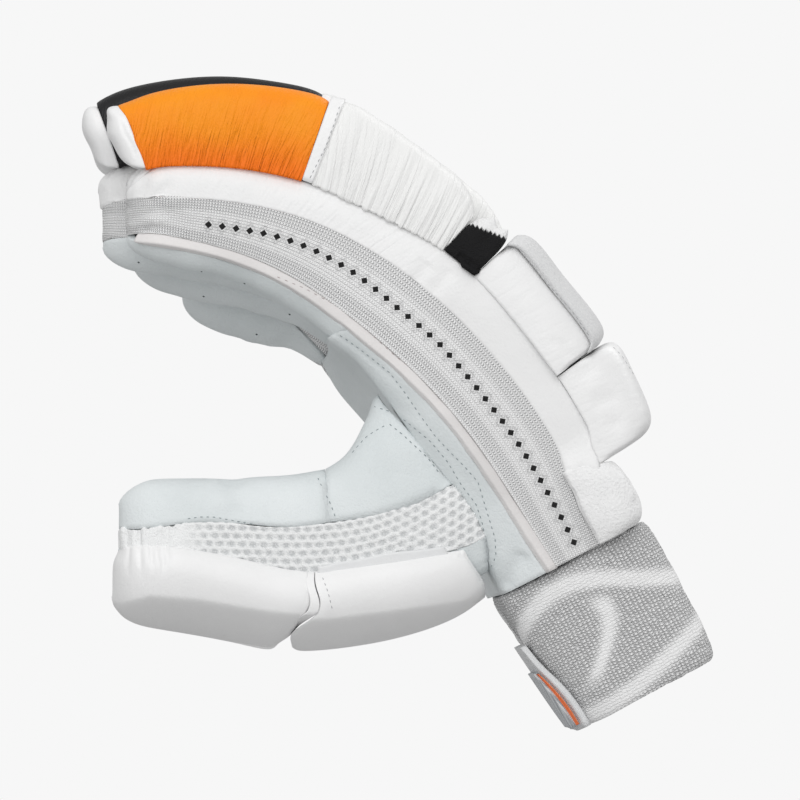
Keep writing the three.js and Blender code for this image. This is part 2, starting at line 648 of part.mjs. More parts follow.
// How far a pad's lower edge comes down past the flat of its base, on the near or the far side.
// Inside the hand the pads share a flat base, and past it each finger has its own round shoulders.
function lipDrop(name, s, far) {
  const isOuter = far ? name === "little" : name === "index";
  const shoulder = (1 - seamShare) * (along(profile, "top", s) - middleHeight) + layerGap - lipGap;
  return shoulder * (isOuter ? 1 : THREE.MathUtils.smoothstep(s, handLength + 0.5, handLength + 4));
}
function padRing(name, s, amount, grow, slant) {
  const finger = fingers[name];
  const base = padBase(name, s);
  const top = along(padTop, "v", indexDistance(name, s + slant * 20)) + finger.rise * 1.4;
  const half = finger.half - 0.15 + grow;
  const drop = [lipDrop(name, s, false), lipDrop(name, s, true)];
  const ring = arcAngles.map((a) => {
    const [c, t] = roundBox(a, 4.5);
    const low = -drop[c > 0 ? 0 : 1];
    return [half * c * (0.9 + 0.1 * amount), low + (top - base + grow - low) * t * amount];
  });
  const shoulders = [[-shoulderOut, -drop[1]], [-shoulderIn, 0], [0, 0], [shoulderIn, 0], [shoulderOut, -drop[0]]];
  for (const [share, up] of shoulders) ring.push([finger.half * share, up]);
  return ring.map(([y, up]) => onHand(s + slant * Math.max(0, up), base + up, finger.y - y));
}
for (const [name, finger] of Object.entries(fingers)) {
  const pleats = finger.pleats;
  const from = finger.knuckle;
  const to = finger.joint - 2;
  const rings = [];
  for (let i = 0; i <= pleats * 2; i++) {
    const s = THREE.MathUtils.lerp(from, to, i / (pleats * 2));
    const end = Math.min(1, 0.82 + 0.18 * Math.min(i, 3) / 2);
    rings.push(padRing(name, s, end, i % 2 ? 0 : -0.7, 0));
  }
  add(`knuckle_pad_${name}`, loft(rings), white, 0.6);
  const strip = [finger.joint - 1.6, finger.joint + 0.8].map((s) => padRing(name, s, 1, 0.15, 0));
  add(`pad_piping_${name}`, loft(strip), white, 0.5);
  const tipRows = [
    { t: 0, amount: 0.94 }, { t: 0.05, amount: 1 }, { t: 0.3, amount: 1 }, { t: 0.55, amount: 1 },
    { t: 0.8, amount: 1 }, { t: 0.94, amount: 0.985 }, { t: 1, amount: 0.95 },
  ];
  const tipFrom = finger.joint + 1.2;
  const tipTo = finger.tip - 6.5;
  const slantAt = (t) => 0.36 * THREE.MathUtils.smoothstep(t, 0.2, 1);
  const tipRings = tipRows.map(({ t, amount }) => padRing(name, THREE.MathUtils.lerp(tipFrom, tipTo, t), amount, 0, slantAt(t)));
  add(`tip_pad_${name}`, loft(tipRings), finger.pad, 0.5);
  const capRows = [
    { d: 0.4, size: 0.97 }, { d: 2.6, size: 0.97 }, { d: 4.8, size: 0.84 }, { d: 6.2, size: 0.5 },
  ];
  const base = padRing(name, tipTo, 0.95, 0, 0.36);
  const centre = base.reduce((sum, p) => sum.map((v, i) => v + p[i] / base.length), [0, 0, 0]);
  const h = spineAt(spineStart, handBones, tipTo).h - 0.1;
  const capRings = capRows.map(({ d, size }) => base.map((p) => [
    centre[0] + (p[0] - centre[0]) * size + d * Math.cos(h),
    centre[1] + (p[1] - centre[1]) * size,
    centre[2] + (p[2] - centre[2]) * size + d * Math.sin(h),
  ]));
  add(`tip_cap_${name}`, loft(capRings), white, 0.4);
}

// Pads across the back of the hand
const wideAngles = [0, 18, 38, 48, 62, 76, 90, 104, 118, 132, 142, 162, 180].map(THREE.MathUtils.degToRad);
function wideRing(s, top, amount, from, to, lift) {
  const base = along(profile, "top", s) + layerGap;
  const halfWidth = (to - from) / 2;
  const centre = (to + from) / 2;
  const drop = lipDrop("index", s, false);
  const ring = wideAngles.map((a) => {
    const [c, t] = roundBox(a, 5);
    return [centre - (halfWidth + lift) * c * (0.97 + 0.03 * amount),
      base - drop + (top + lift - base + drop) * t * amount];
  });
  const { near, far, half, farHalf } = handSection(s);
  ring.push([far + farHalf * shoulderOut, base - drop], [far + farHalf * shoulderIn, base]);
  for (let i = 1; i < 5; i++) ring.push([THREE.MathUtils.lerp(far, near, i / 5), base]);
  ring.push([near - half * shoulderIn, base], [near - half * shoulderOut, base - drop]);
  return ring.map(([y, v]) => onHand(s, v, y));
}
const mainPadSides = [-47.4, 46.2];
const wristPadSides = [-44.6, 44.2];
const mainPadRows = [
  { s: 48.4, top: 45.0, amount: 0.8 }, { s: 49.6, top: 46.0, amount: 0.95 }, { s: 53, top: 46.3, amount: 1 },
  { s: 62, top: 46.2, amount: 1 }, { s: 71, top: 45.9, amount: 1 }, { s: 79, top: 47.0, amount: 1 },
  { s: 83.6, top: 46.6, amount: 1 }, { s: 85.6, top: 45.4, amount: 0.93 },
];
add("main_pad", loft(mainPadRows.map((r) => wideRing(r.s, r.top, r.amount, ...mainPadSides, 0))), white, 0.6);
const panelRows = (lift) => mainPadRows.map((r) => {
  const ring = wideRing(r.s, r.top, r.amount, ...mainPadSides, lift);
  return ring.slice(2, wideAngles.length - 2);
});
add("main_pad_panel", wall(panelRows(1.7), panelRows(0.45)), "#cfd1d3", 0.9);
const wristPadRows = [
  { s: 19.4, top: 42.5, amount: 0.74 }, { s: 20.6, top: 43.8, amount: 0.93 }, { s: 24, top: 45.2, amount: 1 },
  { s: 34, top: 46.9, amount: 1 }, { s: 43, top: 48.6, amount: 1 }, { s: 46.4, top: 48.0, amount: 0.99 },
  { s: 47.7, top: 46.2, amount: 0.93 },
];
add("wrist_pad", loft(wristPadRows.map((r) => wideRing(r.s, r.top, r.amount, ...wristPadSides, 0))), white, 0.6);

// Black flex inserts between the main pad and the knuckle pads
const flexHeight = 16;
const folds = [
  { t: 0, up: 0.8 }, { t: 0.2, up: 1 }, { t: 0.42, up: 0.88 }, { t: 0.62, up: 1 }, { t: 0.82, up: 0.86 }, { t: 1, up: 0.7 },
];
for (const name of ["index", "little"]) {
  const finger = fingers[name];
  const from = 86.2;
  const to = finger.knuckle - 0.5;
  add(`knuckle_flex_${name}`, loft(folds.map(({ t, up }) => {
    const s = THREE.MathUtils.lerp(from, to, t);
    const base = along(profile, "top", s) + layerGap;
    const drop = [lipDrop(name, s, false), lipDrop(name, s, true)];
    const ring = [0, 30, 60, 90, 120, 150, 180].map(THREE.MathUtils.degToRad).map((a) => {
      const [c, t2] = roundBox(a, 5);
      const low = -drop[c > 0 ? 0 : 1];
      return [(finger.half - 0.5) * c, low + (flexHeight * up - low) * t2];
    });
    const shoulders = [[-shoulderOut, -drop[1]], [-shoulderIn, 0], [0, 0], [shoulderIn, 0], [shoulderOut, -drop[0]]];
    for (const [share, rise] of shoulders) ring.push([finger.half * share, rise]);
    return ring.map(([y, rise]) => onHand(s, base + rise, finger.y - y));
  })), black, 0.7);
}

// Wrist roll round the back of the wrist
const rollRows = [
  { s: -2.1, puff: 0.45 }, { s: 0.2, puff: 0.85 }, { s: 4, puff: 1 }, { s: 8.5, puff: 1 }, { s: 13, puff: 0.86 }, { s: 16.4, puff: 0.4 },
];
// How much further up the wrist the roll reaches, from its lower ends to its back.
const rollReach = [6, 4, 1.6, 0.3];
const rollOuter = [];
const rollInner = [];
for (const { s, puff } of rollRows) {
  const sec = handSection(s);
  const near = sideAt(sec, 8.5, false);
  const ks = [...spread(near, 1, 5), ...spread(1, 2, 6).slice(1, -1), ...spread(2, 3 - near, 5)];
  const upper = THREE.MathUtils.smoothstep(s, 2, 16.4);
  const reach = ks.map((_, i) => s + upper * (rollReach[Math.min(i, ks.length - 1 - i)] ?? 0));
  const at = (k, i, out) => onSection(handSection(reach[i]), reach[i], k, out);
  rollInner.push(ks.map((k, i) => at(k, i, 1.0)));
  rollOuter.push(ks.map((k, i) => {
    const side = Math.min(1, 0.35 + Math.min(i, ks.length - 1 - i) * 0.4);
    return at(k, i, 1.4 + 6.0 * puff * side);
  }));
}
add("wrist_roll", wall(rollOuter, rollInner), "#e6e6e6", 0.9);

// Cuff: an open knit tube
const cuffTable = [
  { s: -52, top: 25.2, bottom: -22.5, near: -25, far: 24 }, { s: -48, top: 26.6, bottom: -23.2, near: -25, far: 24 },
  { s: -32, top: 26.4, bottom: -25.2, near: -24.5, far: 23.6 }, { s: -16, top: 26.6, bottom: -27, near: -24, far: 23.2 },
  { s: -3, top: 26.0, bottom: -28.4, near: -24, far: 23.2 },
];
function cuffSection(s) {
  const get = (column) => along(cuffTable, column, s);
  return {
    near: get("near"), far: get("far"), half: 15, farHalf: 15, mid: 0, top: get("top"), bottom: get("bottom"),
    farBottom: get("bottom"), topSquare: 2.7, lowSquare: 2.7,
  };
}
const cuffLoop = [...spread(-1, 1, 7), ...spread(1, 2, 5).slice(1), ...spread(2, 4, 7).slice(1), ...spread(4, 5, 5).slice(1, -1)];
const cuffStations = [-52, -50.6, -40, -27, -14, -5, -3];
const cuffRows = (out) => cuffStations.map((s, i) => {
  const sec = cuffSection(s);
  const lip = i === 0 || i === cuffStations.length - 1 ? -0.9 : 0;
  return cuffLoop.map((k) => onSection(sec, s, k, out + lip * Math.sign(out + 1)));
});
add("cuff", wall(cuffRows(0), cuffRows(-cuffWall), { loop: true }), knitGrey, 0.95);

// Strap tab, badge and edging on the palm side of the cuff
const tabEdge = [
  { s: -52.4, v: -19.6 }, { s: -46, v: -19.8 }, { s: -38, v: -21.2 }, { s: -31, v: -23.6 }, { s: -26, v: -25.8 }, { s: -20, v: -27.3 },
];
const tabRows = (out, from, to, inset, width) => spread(from, to, 5).map((s) => {
  const sec = cuffSection(s);
  const start = sideAt(sec, Math.max(along(tabEdge, "v", s), sec.bottom + 0.25), false) - inset;
  const first = Math.max(start, -0.99);
  const across = width ? spread(first, Math.max(first - width, -1), 3) : [...spread(first, -1, 3), ...spread(5, 4.12 + inset, 4).slice(1)];
  return across.map((k) => onSection(sec, s, k, out));
});
add("strap_tab", wall(tabRows(2.4, -52.4, -20.5, 0, 0), tabRows(0.6, -52.4, -20.5, 0, 0)), "#d9d9d9", 0.9);
add("strap_badge", wall(tabRows(3.8, -50.8, -30, 0.12, 0), tabRows(2.8, -50.8, -30, 0.12, 0)), "#c9cbcd", 0.6);
add("badge_edging", wall(tabRows(3.6, -50.8, -30, 0.04, 0.06), tabRows(2.8, -50.8, -30, 0.04, 0.06)), "#f58a5a", 0.5);

const group = new THREE.Group();
group.name = "batting_glove";
for (const mesh of pieces) group.add(mesh);
export default group;
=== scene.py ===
"""Cricket batting glove for a right hand, seen from the thumb side. Metres, +Z up.

The glove holds the curve of a closing grip, as if a hand wore it.
"""
import math

import bmesh
import bpy
import numpy as np
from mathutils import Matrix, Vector
from mathutils.bvhtree import BVHTree


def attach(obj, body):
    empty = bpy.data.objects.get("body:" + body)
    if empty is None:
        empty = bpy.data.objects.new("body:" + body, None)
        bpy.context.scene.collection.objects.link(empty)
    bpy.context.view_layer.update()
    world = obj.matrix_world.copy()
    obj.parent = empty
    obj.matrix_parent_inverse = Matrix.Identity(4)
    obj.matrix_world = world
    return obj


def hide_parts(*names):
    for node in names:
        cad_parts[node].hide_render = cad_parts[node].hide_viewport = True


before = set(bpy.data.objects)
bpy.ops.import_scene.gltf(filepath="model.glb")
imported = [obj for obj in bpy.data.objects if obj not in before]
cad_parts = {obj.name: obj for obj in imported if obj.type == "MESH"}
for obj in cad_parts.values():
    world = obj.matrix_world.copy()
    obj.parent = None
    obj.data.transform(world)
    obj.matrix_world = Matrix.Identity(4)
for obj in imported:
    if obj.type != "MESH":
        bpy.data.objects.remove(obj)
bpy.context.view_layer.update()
scene = bpy.context.scene


# Camera, light and ground
# The glove is seen level from its thumb side through a long lens, in soft light from above.
# A pale ground lies well below it, because a hand would hold it up.
mm = 0.001
picture_pixels = 800
picture_width = 0.256
picture_centre = Vector((-0.080, -0.040, 0.09392))
lens = 500
sensor = 36
camera_distance = picture_width * lens / sensor
camera_place = picture_centre - Vector((0, camera_distance, 0))
bpy.ops.object.camera_add(location=camera_place, rotation=(math.radians(90), 0, 0))
camera = bpy.context.object
camera.data.lens = lens
camera.data.sensor_width = sensor
camera.data.clip_end = 60
scene.camera = camera
scene.view_settings.view_transform = "Standard"
scene.view_settings.look = "None"


def tint(code):
    """Linear colour of a six-digit screen colour."""
    values = [int(code[i:i + 2], 16) / 255 for i in (0, 2, 4)]
    return tuple(v / 12.92 if v <= 0.04045 else ((v + 0.055) / 1.055) ** 2.4 for v in values) + (1.0,)


def node(tree, kind, sockets=None, **settings):
    """A new node with its settings and the values of its input sockets."""
    made = tree.nodes.new(kind)
    for key, value in settings.items():
        setattr(made, key, value)
    for key, value in (sockets or {}).items():
        made.inputs[key].default_value = value
    return made


background = "f7f7f7"
world = bpy.data.worlds.new("pale_studio")
world.use_nodes = True
scene.world = world
sky = world.node_tree
sky.nodes.clear()
height = node(sky, "ShaderNodeTexCoord")
split = node(sky, "ShaderNodeSeparateXYZ")
light_below = 0.58
light_above = 0.80
ramp = node(sky, "ShaderNodeMapRange", {
    "From Min": -0.5, "From Max": 0.6, "To Min": light_below, "To Max": light_above})
soft_light = node(sky, "ShaderNodeBackground")
seen_ground = node(sky, "ShaderNodeBackground", {"Color": tint(background), "Strength": 1.0})
is_camera = node(sky, "ShaderNodeLightPath")
either = node(sky, "ShaderNodeMixShader")
sky_out = node(sky, "ShaderNodeOutputWorld")
sky.links.new(height.outputs["Generated"], split.inputs[0])
sky.links.new(split.outputs["Z"], ramp.inputs["Value"])
sky.links.new(ramp.outputs[0], soft_light.inputs["Strength"])
sky.links.new(is_camera.outputs["Is Camera Ray"], either.inputs[0])
sky.links.new(soft_light.outputs[0], either.inputs[1])
sky.links.new(seen_ground.outputs[0], either.inputs[2])
sky.links.new(either.outputs[0], sky_out.inputs[0])

glove_middle = Vector((-0.06, 0, 0.1))
for name, place, size, power in (
    ("front_light", (-0.25, -1.6, 0.95), 1.5, 15.6),
    ("back_light", (0.9, 0.8, 1.1), 0.9, 6.0),
):
    bpy.ops.object.light_add(type="AREA", location=place)
    lamp = bpy.context.object
    lamp.name = name
    lamp.data.size = size
    lamp.data.energy = power
    aim = glove_middle - Vector(place)
    lamp.rotation_euler = aim.to_track_quat("-Z", "Y").to_euler()

floor_radius = 2.6
floor_below = 0.30
bpy.ops.mesh.primitive_circle_add(
    vertices=96, radius=floor_radius, fill_type="NGON", location=(0, 0, -floor_below))
floor = bpy.context.object
floor.name = "floor"
ground = bpy.data.materials.new("pale_ground")
ground.use_nodes = True
ground_shader = ground.node_tree.nodes["Principled BSDF"]
ground_shader.inputs["Base Color"].default_value = tint("b2b2b2")
ground_shader.inputs["Roughness"].default_value = 0.9
floor.data.materials.append(ground)


# Palm leather
# The palm, the undersides of the fingers and the thumb stall are soft, fine-grained leather,
# cut as flat pattern pieces and drawn into shape by their seams. Each starts as its own
# pattern piece's solid, which is rounded between its cut edges and given its folds.
spine_start = (-0.0252, 0.0457, 117.5)
hand_bones = ((75, 13), (47, 17), (28, 22), (40, 12))
thumb_start = (-0.0597, 0.0677, 216)
thumb_bones = ((14, -2), (30, -28), (20, -8), (62, 2))


def bent_line(start, bones):
    """Points of a spine each half millimetre, as distance (mm), x, z and heading. It is as long as its
    bones, each a length and a turn, and runs straight on before and after them."""
    step = 0.5
    straight_end = (30, 0.0001)
    x, z = start[0] / mm, start[1] / mm
    heading = math.radians(start[2])
    back = 60
    rows = [(-back + i * step, x + (-back + i * step) * math.cos(heading),
             z + (-back + i * step) * math.sin(heading), heading) for i in range(int(back / step))]
    distance = 0.0
    for length, turn in (*bones, straight_end):
        for _ in range(int(length / step)):
            rows.append((distance, x, z, heading))
            x += step * math.cos(heading + math.radians(turn) * step / length / 2)
            z += step * math.sin(heading + math.radians(turn) * step / length / 2)
            heading += math.radians(turn) * step / length
            distance += step
    return np.array(rows)


hand_line = bent_line(spine_start, hand_bones)
thumb_line = bent_line(thumb_start, thumb_bones)


def place_along(line, points):
    """Distance along a spine, height above it, in mm, and its heading, at points in metres."""
    p = points[:, [0, 2]] / mm
    s = np.empty(len(p))
    v = np.empty(len(p))
    heading = np.empty(len(p))
    share = 20000
    for first in range(0, len(p), share):
        part = p[first:first + share]
        far = (part[:, None, 0] - line[None, :, 1]) ** 2 + (part[:, None, 1] - line[None, :, 2]) ** 2
        near = line[far.argmin(1)]
        dx, dz = part[:, 0] - near[:, 1], part[:, 1] - near[:, 2]
        c, t = np.cos(near[:, 3]), np.sin(near[:, 3])
        s[first:first + share] = near[:, 0] + dx * c + dz * t
        v[first:first + share] = dx * t - dz * c
        heading[first:first + share] = near[:, 3]
    return s, v, heading


def place_on(piece, line):
    """Distance along a spine, height above it and place across it, in mm, at a piece's points."""
    at = points_of(piece)
    s, v, _ = place_along(line, at)
    return s, v, at[:, 1] / mm


def points_of(piece):
    values = np.empty(len(piece.data.vertices) * 3)
    piece.data.vertices.foreach_get("co", values)
    return values.reshape(-1, 3)


def normals_of(piece):
    values = np.empty(len(piece.data.vertices) * 3, np.float32)
    piece.data.vertex_normals.foreach_get("vector", values)
    return values.reshape(-1, 3).astype(float)


def set_points(piece, points):
    piece.data.vertices.foreach_set("co", points.ravel())
    piece.data.update()


def soft_copy(name, source, levels, crease=52, swell=0.16):
    """A piece made from its pattern piece: doubles joined, facets made four-sided and rounded."""
    bpy.ops.object.select_all(action="DESELECT")
    piece = bpy.data.objects.new(name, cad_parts[source].data.copy())
    scene.collection.objects.link(piece)
    bpy.context.view_layer.objects.active = piece
    piece.select_set(True)
    piece.data.materials.clear()
    bpy.ops.mesh.customdata_custom_splitnormals_clear()
    bpy.ops.object.mode_set(mode="EDIT")
    bpy.ops.mesh.select_mode(type="VERT")
    bpy.ops.mesh.select_all(action="SELECT")
    bpy.ops.mesh.remove_doubles(threshold=0.02 * mm)
    bpy.ops.mesh.tris_convert_to_quads(
        face_threshold=math.radians(50), shape_threshold=math.radians(70))
    bpy.ops.object.mode_set(mode="OBJECT")
    shell = bmesh.new()
    shell.from_mesh(piece.data)
    sharp = shell.edges.layers.float.new("crease_edge")
    for edge in shell.edges:
        if edge.is_manifold and edge.calc_face_angle() > math.radians(crease):
            edge[sharp] = 1.0
    shell.to_mesh(piece.data)
    shell.free()
    rounding = piece.modifiers.new("rounding", "SUBSURF")
    rounding.levels = rounding.render_levels = levels
    bpy.ops.object.modifier_apply(modifier="rounding")
    bpy.ops.object.shade_smooth()
    press(piece, swell)
    return piece


def value_noise(points, seed=0):
    """Smooth noise from -1 to 1 at points, with one wave for each unit."""
    cell = np.floor(points).astype(np.int64)
    part = points - cell
    part = part * part * (3 - 2 * part)
    total = np.zeros(len(points))
    for corner in range(8):
        offset = np.array([corner & 1, corner >> 1 & 1, corner >> 2 & 1])
        c = cell + offset
        mixed = (c[:, 0] * 73856093) ^ (c[:, 1] * 19349663) ^ (c[:, 2] * 83492791) ^ (seed * 2654435761)
        mixed = (mixed ^ (mixed >> 13)) * 1274126177
        level = ((mixed ^ (mixed >> 16)) & 65535) / 32767.5 - 1
        weight = np.prod(np.where(offset, part, 1 - part), axis=1)
        total += level * weight
    return total


def waves(seed, *axes):
    """Smooth noise over coordinates that are each given in wavelengths."""
    return value_noise(np.stack(axes, axis=1), seed)


def smooth_step(a, b, x):
    t = np.clip((x - a) / (b - a), 0, 1)
    return t * t * (3 - 2 * t)


def seen_in_picture(points):
    """Where points show in the picture, in its pixels."""
    offset = points - np.array(camera_place)
    scale = camera_distance / offset[:, 1] * picture_pixels / picture_width
    right, up = offset[:, 0] * scale, offset[:, 2] * scale
    return np.stack([picture_pixels / 2 + right, picture_pixels / 2 - up], axis=1)


def line_distance(points, route):
    """Distance of 2-D points from a route of 2-D points, and how far along it they are."""
    route = np.array(route, float)
    best = np.full(len(points), 1e9)
    where = np.zeros(len(points))
    run = 0.0
    for a, b in zip(route[:-1], route[1:]):
        d = b - a
        length = np.hypot(*d)
        t = np.clip(((points - a) @ d) / length ** 2, 0, 1)
        off = np.hypot(*(points - a - t[:, None] * d).T)
        closer = off < best
        best = np.where(closer, off, best)
        where = np.where(closer, run + t * length, where)
        run += length
    return best, where


def press(piece, heights):
    """Moves a piece's surface out along its normals, by heights in mm."""
    move = np.broadcast_to(heights, len(piece.data.vertices))
    set_points(piece, points_of(piece) + normals_of(piece) * (move * mm)[:, None])


def faces_viewer(piece):
    """1 where the outside of a wall faces the camera, 0 at its back and inside."""
    return smooth_step(0.05, 0.35, -normals_of(piece)[:, 1])


def grooves(piece, routes, depth, width, tail=5):
    """Presses soft grooves into a piece along routes of picture pixels, or ridges where the depth is
    below 0. Depth and width are in mm, and the tails at both ends in pixels."""
    pixel = picture_width / picture_pixels / mm
    for route in routes:
        off, where = line_distance(seen_in_picture(points_of(piece)), route)
        ends = smooth_step(0, tail, where) * smooth_step(0, tail, where.max() - where)
        press(piece, -depth * ends * np.exp(-(off * pixel / width) ** 2) * faces_viewer(piece))


def nudge(piece, moves, near_side=False):
    """Moves a piece's surface in the picture: each move is a place, a reach and a step, all in pixels,
    and may have a last step towards the viewer. The far side can be left as it is."""
    pixel = picture_width / picture_pixels
    for x, y, reach, right, down, *nearer in moves:
        at = points_of(piece)
        off = np.hypot(*(seen_in_picture(at) - (x, y)).T)
        near = np.exp(-(off / reach) ** 2) * pixel
        if near_side:
            near *= 1 - smooth_step(0.5, 0.85, (at[:, 1] - at[:, 1].min()) / np.ptp(at[:, 1]))
        at[:, 0] += right * near
        at[:, 1] -= (nearer[0] if nearer else 0) * near
        at[:, 2] -= down * near
        set_points(piece, at)


def tree_of(*pieces):
    """A search tree over the faces of some pieces."""
    corners, faces = [], []
    for piece in pieces:
        first = len(corners)
        corners.extend(piece.data.vertices[i].co.copy() for i in range(len(piece.data.vertices)))
        faces.extend([first + i for i in face.vertices] for face in piece.data.polygons)
    return BVHTree.FromPolygons(corners, faces)


def sew(name, pieces, routes, finish_of, slot, pitch=2.4, length=1.5, width=0.4):
    """Short threads laid on the pieces' surface along routes of picture pixels, joined as one piece.
    Their pitch, length and width are in mm."""
    pixel = picture_width / picture_pixels
    surface = tree_of(*pieces)
    bpy.ops.mesh.primitive_uv_sphere_add(segments=8, ring_count=5, radius=1)
    thread = bpy.context.object
    shape = points_of(thread)
    shape_faces = [tuple(face.vertices) for face in thread.data.polygons]
    bpy.data.objects.remove(thread)
    corners, faces = [], []
    for route in routes:
        route = np.array(route, float)
        run = np.concatenate([[0], np.hypot(*np.diff(route, axis=0).T).cumsum()])
        for middle in np.arange(pitch / 2, run[-1] * pixel / mm, pitch):
            ends = []
            for end in (middle - length / 2, middle + length / 2):
                x, y = (np.interp(end * mm / pixel, run, route[:, k]) for k in (0, 1))
                right, up = (x - picture_pixels / 2) * pixel, (picture_pixels / 2 - y) * pixel
                ray = (picture_centre + Vector((right, 0, up)) - camera_place).normalized()
                place, normal, _, _ = surface.ray_cast(camera_place, ray)
                if place is not None:
                    ends.append((place, normal))
            if len(ends) < 2 or (ends[0][0] - ends[1][0]).length > 2.5 * length * mm:
                continue
            ahead = (ends[1][0] - ends[0][0]).normalized()
            side = ends[0][1].cross(ahead).normalized()
            out = ahead.cross(side)
            scaled = shape * (length / 2 * mm, width / 2 * mm, width / 2 * mm)
            turned = scaled @ np.array([ahead, side, out]) + np.array((ends[0][0] + ends[1][0]) / 2)
            faces.extend(tuple(i + len(corners) for i in face) for face in shape_faces)
            corners.extend(map(tuple, turned))
    made = bpy.data.meshes.new(name)
    made.from_pydata(corners, [], faces)
    made.polygons.foreach_set("use_smooth", [True] * len(made.polygons))
    threads = bpy.data.objects.new(name, made)
    scene.collection.objects.link(threads)
    complete(threads, finish_of, slot)
    return threads


def group(name, inputs, outputs):
    """A shader node group with its named sockets."""
    made = bpy.data.node_groups.new(name, "ShaderNodeTree")
    for label, kind, value in inputs:
        socket = made.interface.new_socket(label, in_out="INPUT", socket_type=kind)
        if value is not None:
            socket.default_value = value
    for label, kind in outputs:
        made.interface.new_socket(label, in_out="OUTPUT", socket_type=kind)
    return made, node(made, "NodeGroupInput"), node(made, "NodeGroupOutput")


def math_node(tree, operation, a, b=None):
    made = node(tree, "ShaderNodeMath", operation=operation)
    for socket, value in zip(made.inputs, (a, b)):
        if isinstance(value, (int, float)):
            socket.default_value = value
        elif value is not None:
            tree.links.new(value, socket)
    return made.outputs[0]


# Leather grain: small rounded cells between fine creases, and broad soft patches of tone.
leather_grain, taken, given = group(
    "leather_grain",
    [("Place", "NodeSocketVector", None), ("Scale", "NodeSocketFloat", 900.0)],
    [("Height", "NodeSocketFloat"), ("Patches", "NodeSocketFloat")],
)
cells = node(leather_grain, "ShaderNodeTexVoronoi", feature="SMOOTH_F1")
cells.inputs["Smoothness"].default_value = 0.5
creases = node(leather_grain, "ShaderNodeTexNoise", {"Detail": 4.0})
patches = node(leather_grain, "ShaderNodeTexNoise", {"Scale": 38.0, "Detail": 3.0})
for texture in (cells, creases, patches):
    leather_grain.links.new(taken.outputs["Place"], texture.inputs["Vector"])
leather_grain.links.new(taken.outputs["Scale"], cells.inputs["Scale"])
leather_grain.links.new(
    math_node(leather_grain, "MULTIPLY", taken.outputs["Scale"], 0.45), creases.inputs["Scale"])
both = math_node(
    leather_grain, "ADD",
    math_node(leather_grain, "MULTIPLY", cells.outputs["Distance"], -0.7), creases.outputs["Fac"])
leather_grain.links.new(both, given.inputs["Height"])
leather_grain.links.new(patches.outputs["Fac"], given.inputs["Patches"])


# Fold lines: long thin creases across a piece's run, about one for each spacing.
fold_lines, taken, given = group(
    "fold_lines",
    [("Place", "NodeSocketVector", None), ("Spacing", "NodeSocketFloat", 1.5),
     ("Lean", "NodeSocketFloat", 0.0), ("Length", "NodeSocketFloat", 14.0)],
    [("Height", "NodeSocketFloat")],
)
uv = node(fold_lines, "ShaderNodeSeparateXYZ")
fold_lines.links.new(taken.outputs["Place"], uv.inputs[0])
leaned = math_node(
    fold_lines, "ADD", uv.outputs["X"],
    math_node(fold_lines, "MULTIPLY", uv.outputs["Y"], taken.outputs["Lean"]))
stretched = node(fold_lines, "ShaderNodeCombineXYZ")
fold_lines.links.new(
    math_node(fold_lines, "DIVIDE", leaned, taken.outputs["Spacing"]), stretched.inputs[0])
fold_lines.links.new(
    math_node(fold_lines, "DIVIDE", uv.outputs["Y"], taken.outputs["Length"]), stretched.inputs[1])
fold_noise = node(fold_lines, "ShaderNodeTexNoise", {"Scale": 0.6, "Detail": 2.0, "Roughness": 0.55})
fold_lines.links.new(stretched.outputs[0], fold_noise.inputs["Vector"])
centred = math_node(fold_lines, "SUBTRACT", fold_noise.outputs["Fac"], 0.5)
steep = math_node(fold_lines, "MULTIPLY", math_node(fold_lines, "ABSOLUTE", centred), 9.0)
fold_lines.links.new(math_node(fold_lines, "MINIMUM", steep, 1.0), given.inputs["Height"])


def finish(name, colour, roughness, sheen=0.0, coat=0.0):
    """A material with its shader, whose plain values are set on the shader's own sockets."""
    made = bpy.data.materials.new(name)
    made.use_nodes = True
    shader = made.node_tree.nodes["Principled BSDF"]
    shader.inputs["Base Color"].default_value = tint(colour)
    shader.inputs["Roughness"].default_value = roughness
    shader.inputs["Sheen Weight"].default_value = sheen
    shader.inputs["Coat Weight"].default_value = coat
    shader.inputs["Coat Roughness"].default_value = 0.35
    made.diffuse_color = tint(colour)
    return made, made.node_tree, shader


def put_bump(tree, shader, height, depth, strength=1.0):
    bump = node(tree, "ShaderNodeBump", {"Strength": strength, "Distance": depth})
    tree.links.new(height, bump.inputs["Height"])
    tree.links.new(bump.outputs[0], shader.inputs["Normal"])
    return bump


def mixed_tint(tree, amount, low, high):
    """A colour between two screen colours."""
    mix = node(tree, "ShaderNodeMix", data_type="RGBA")
    mix.inputs["A"].default_value = tint(low)
    mix.inputs["B"].default_value = tint(high)
    tree.links.new(amount, mix.inputs["Factor"])
    return mix.outputs["Result"]


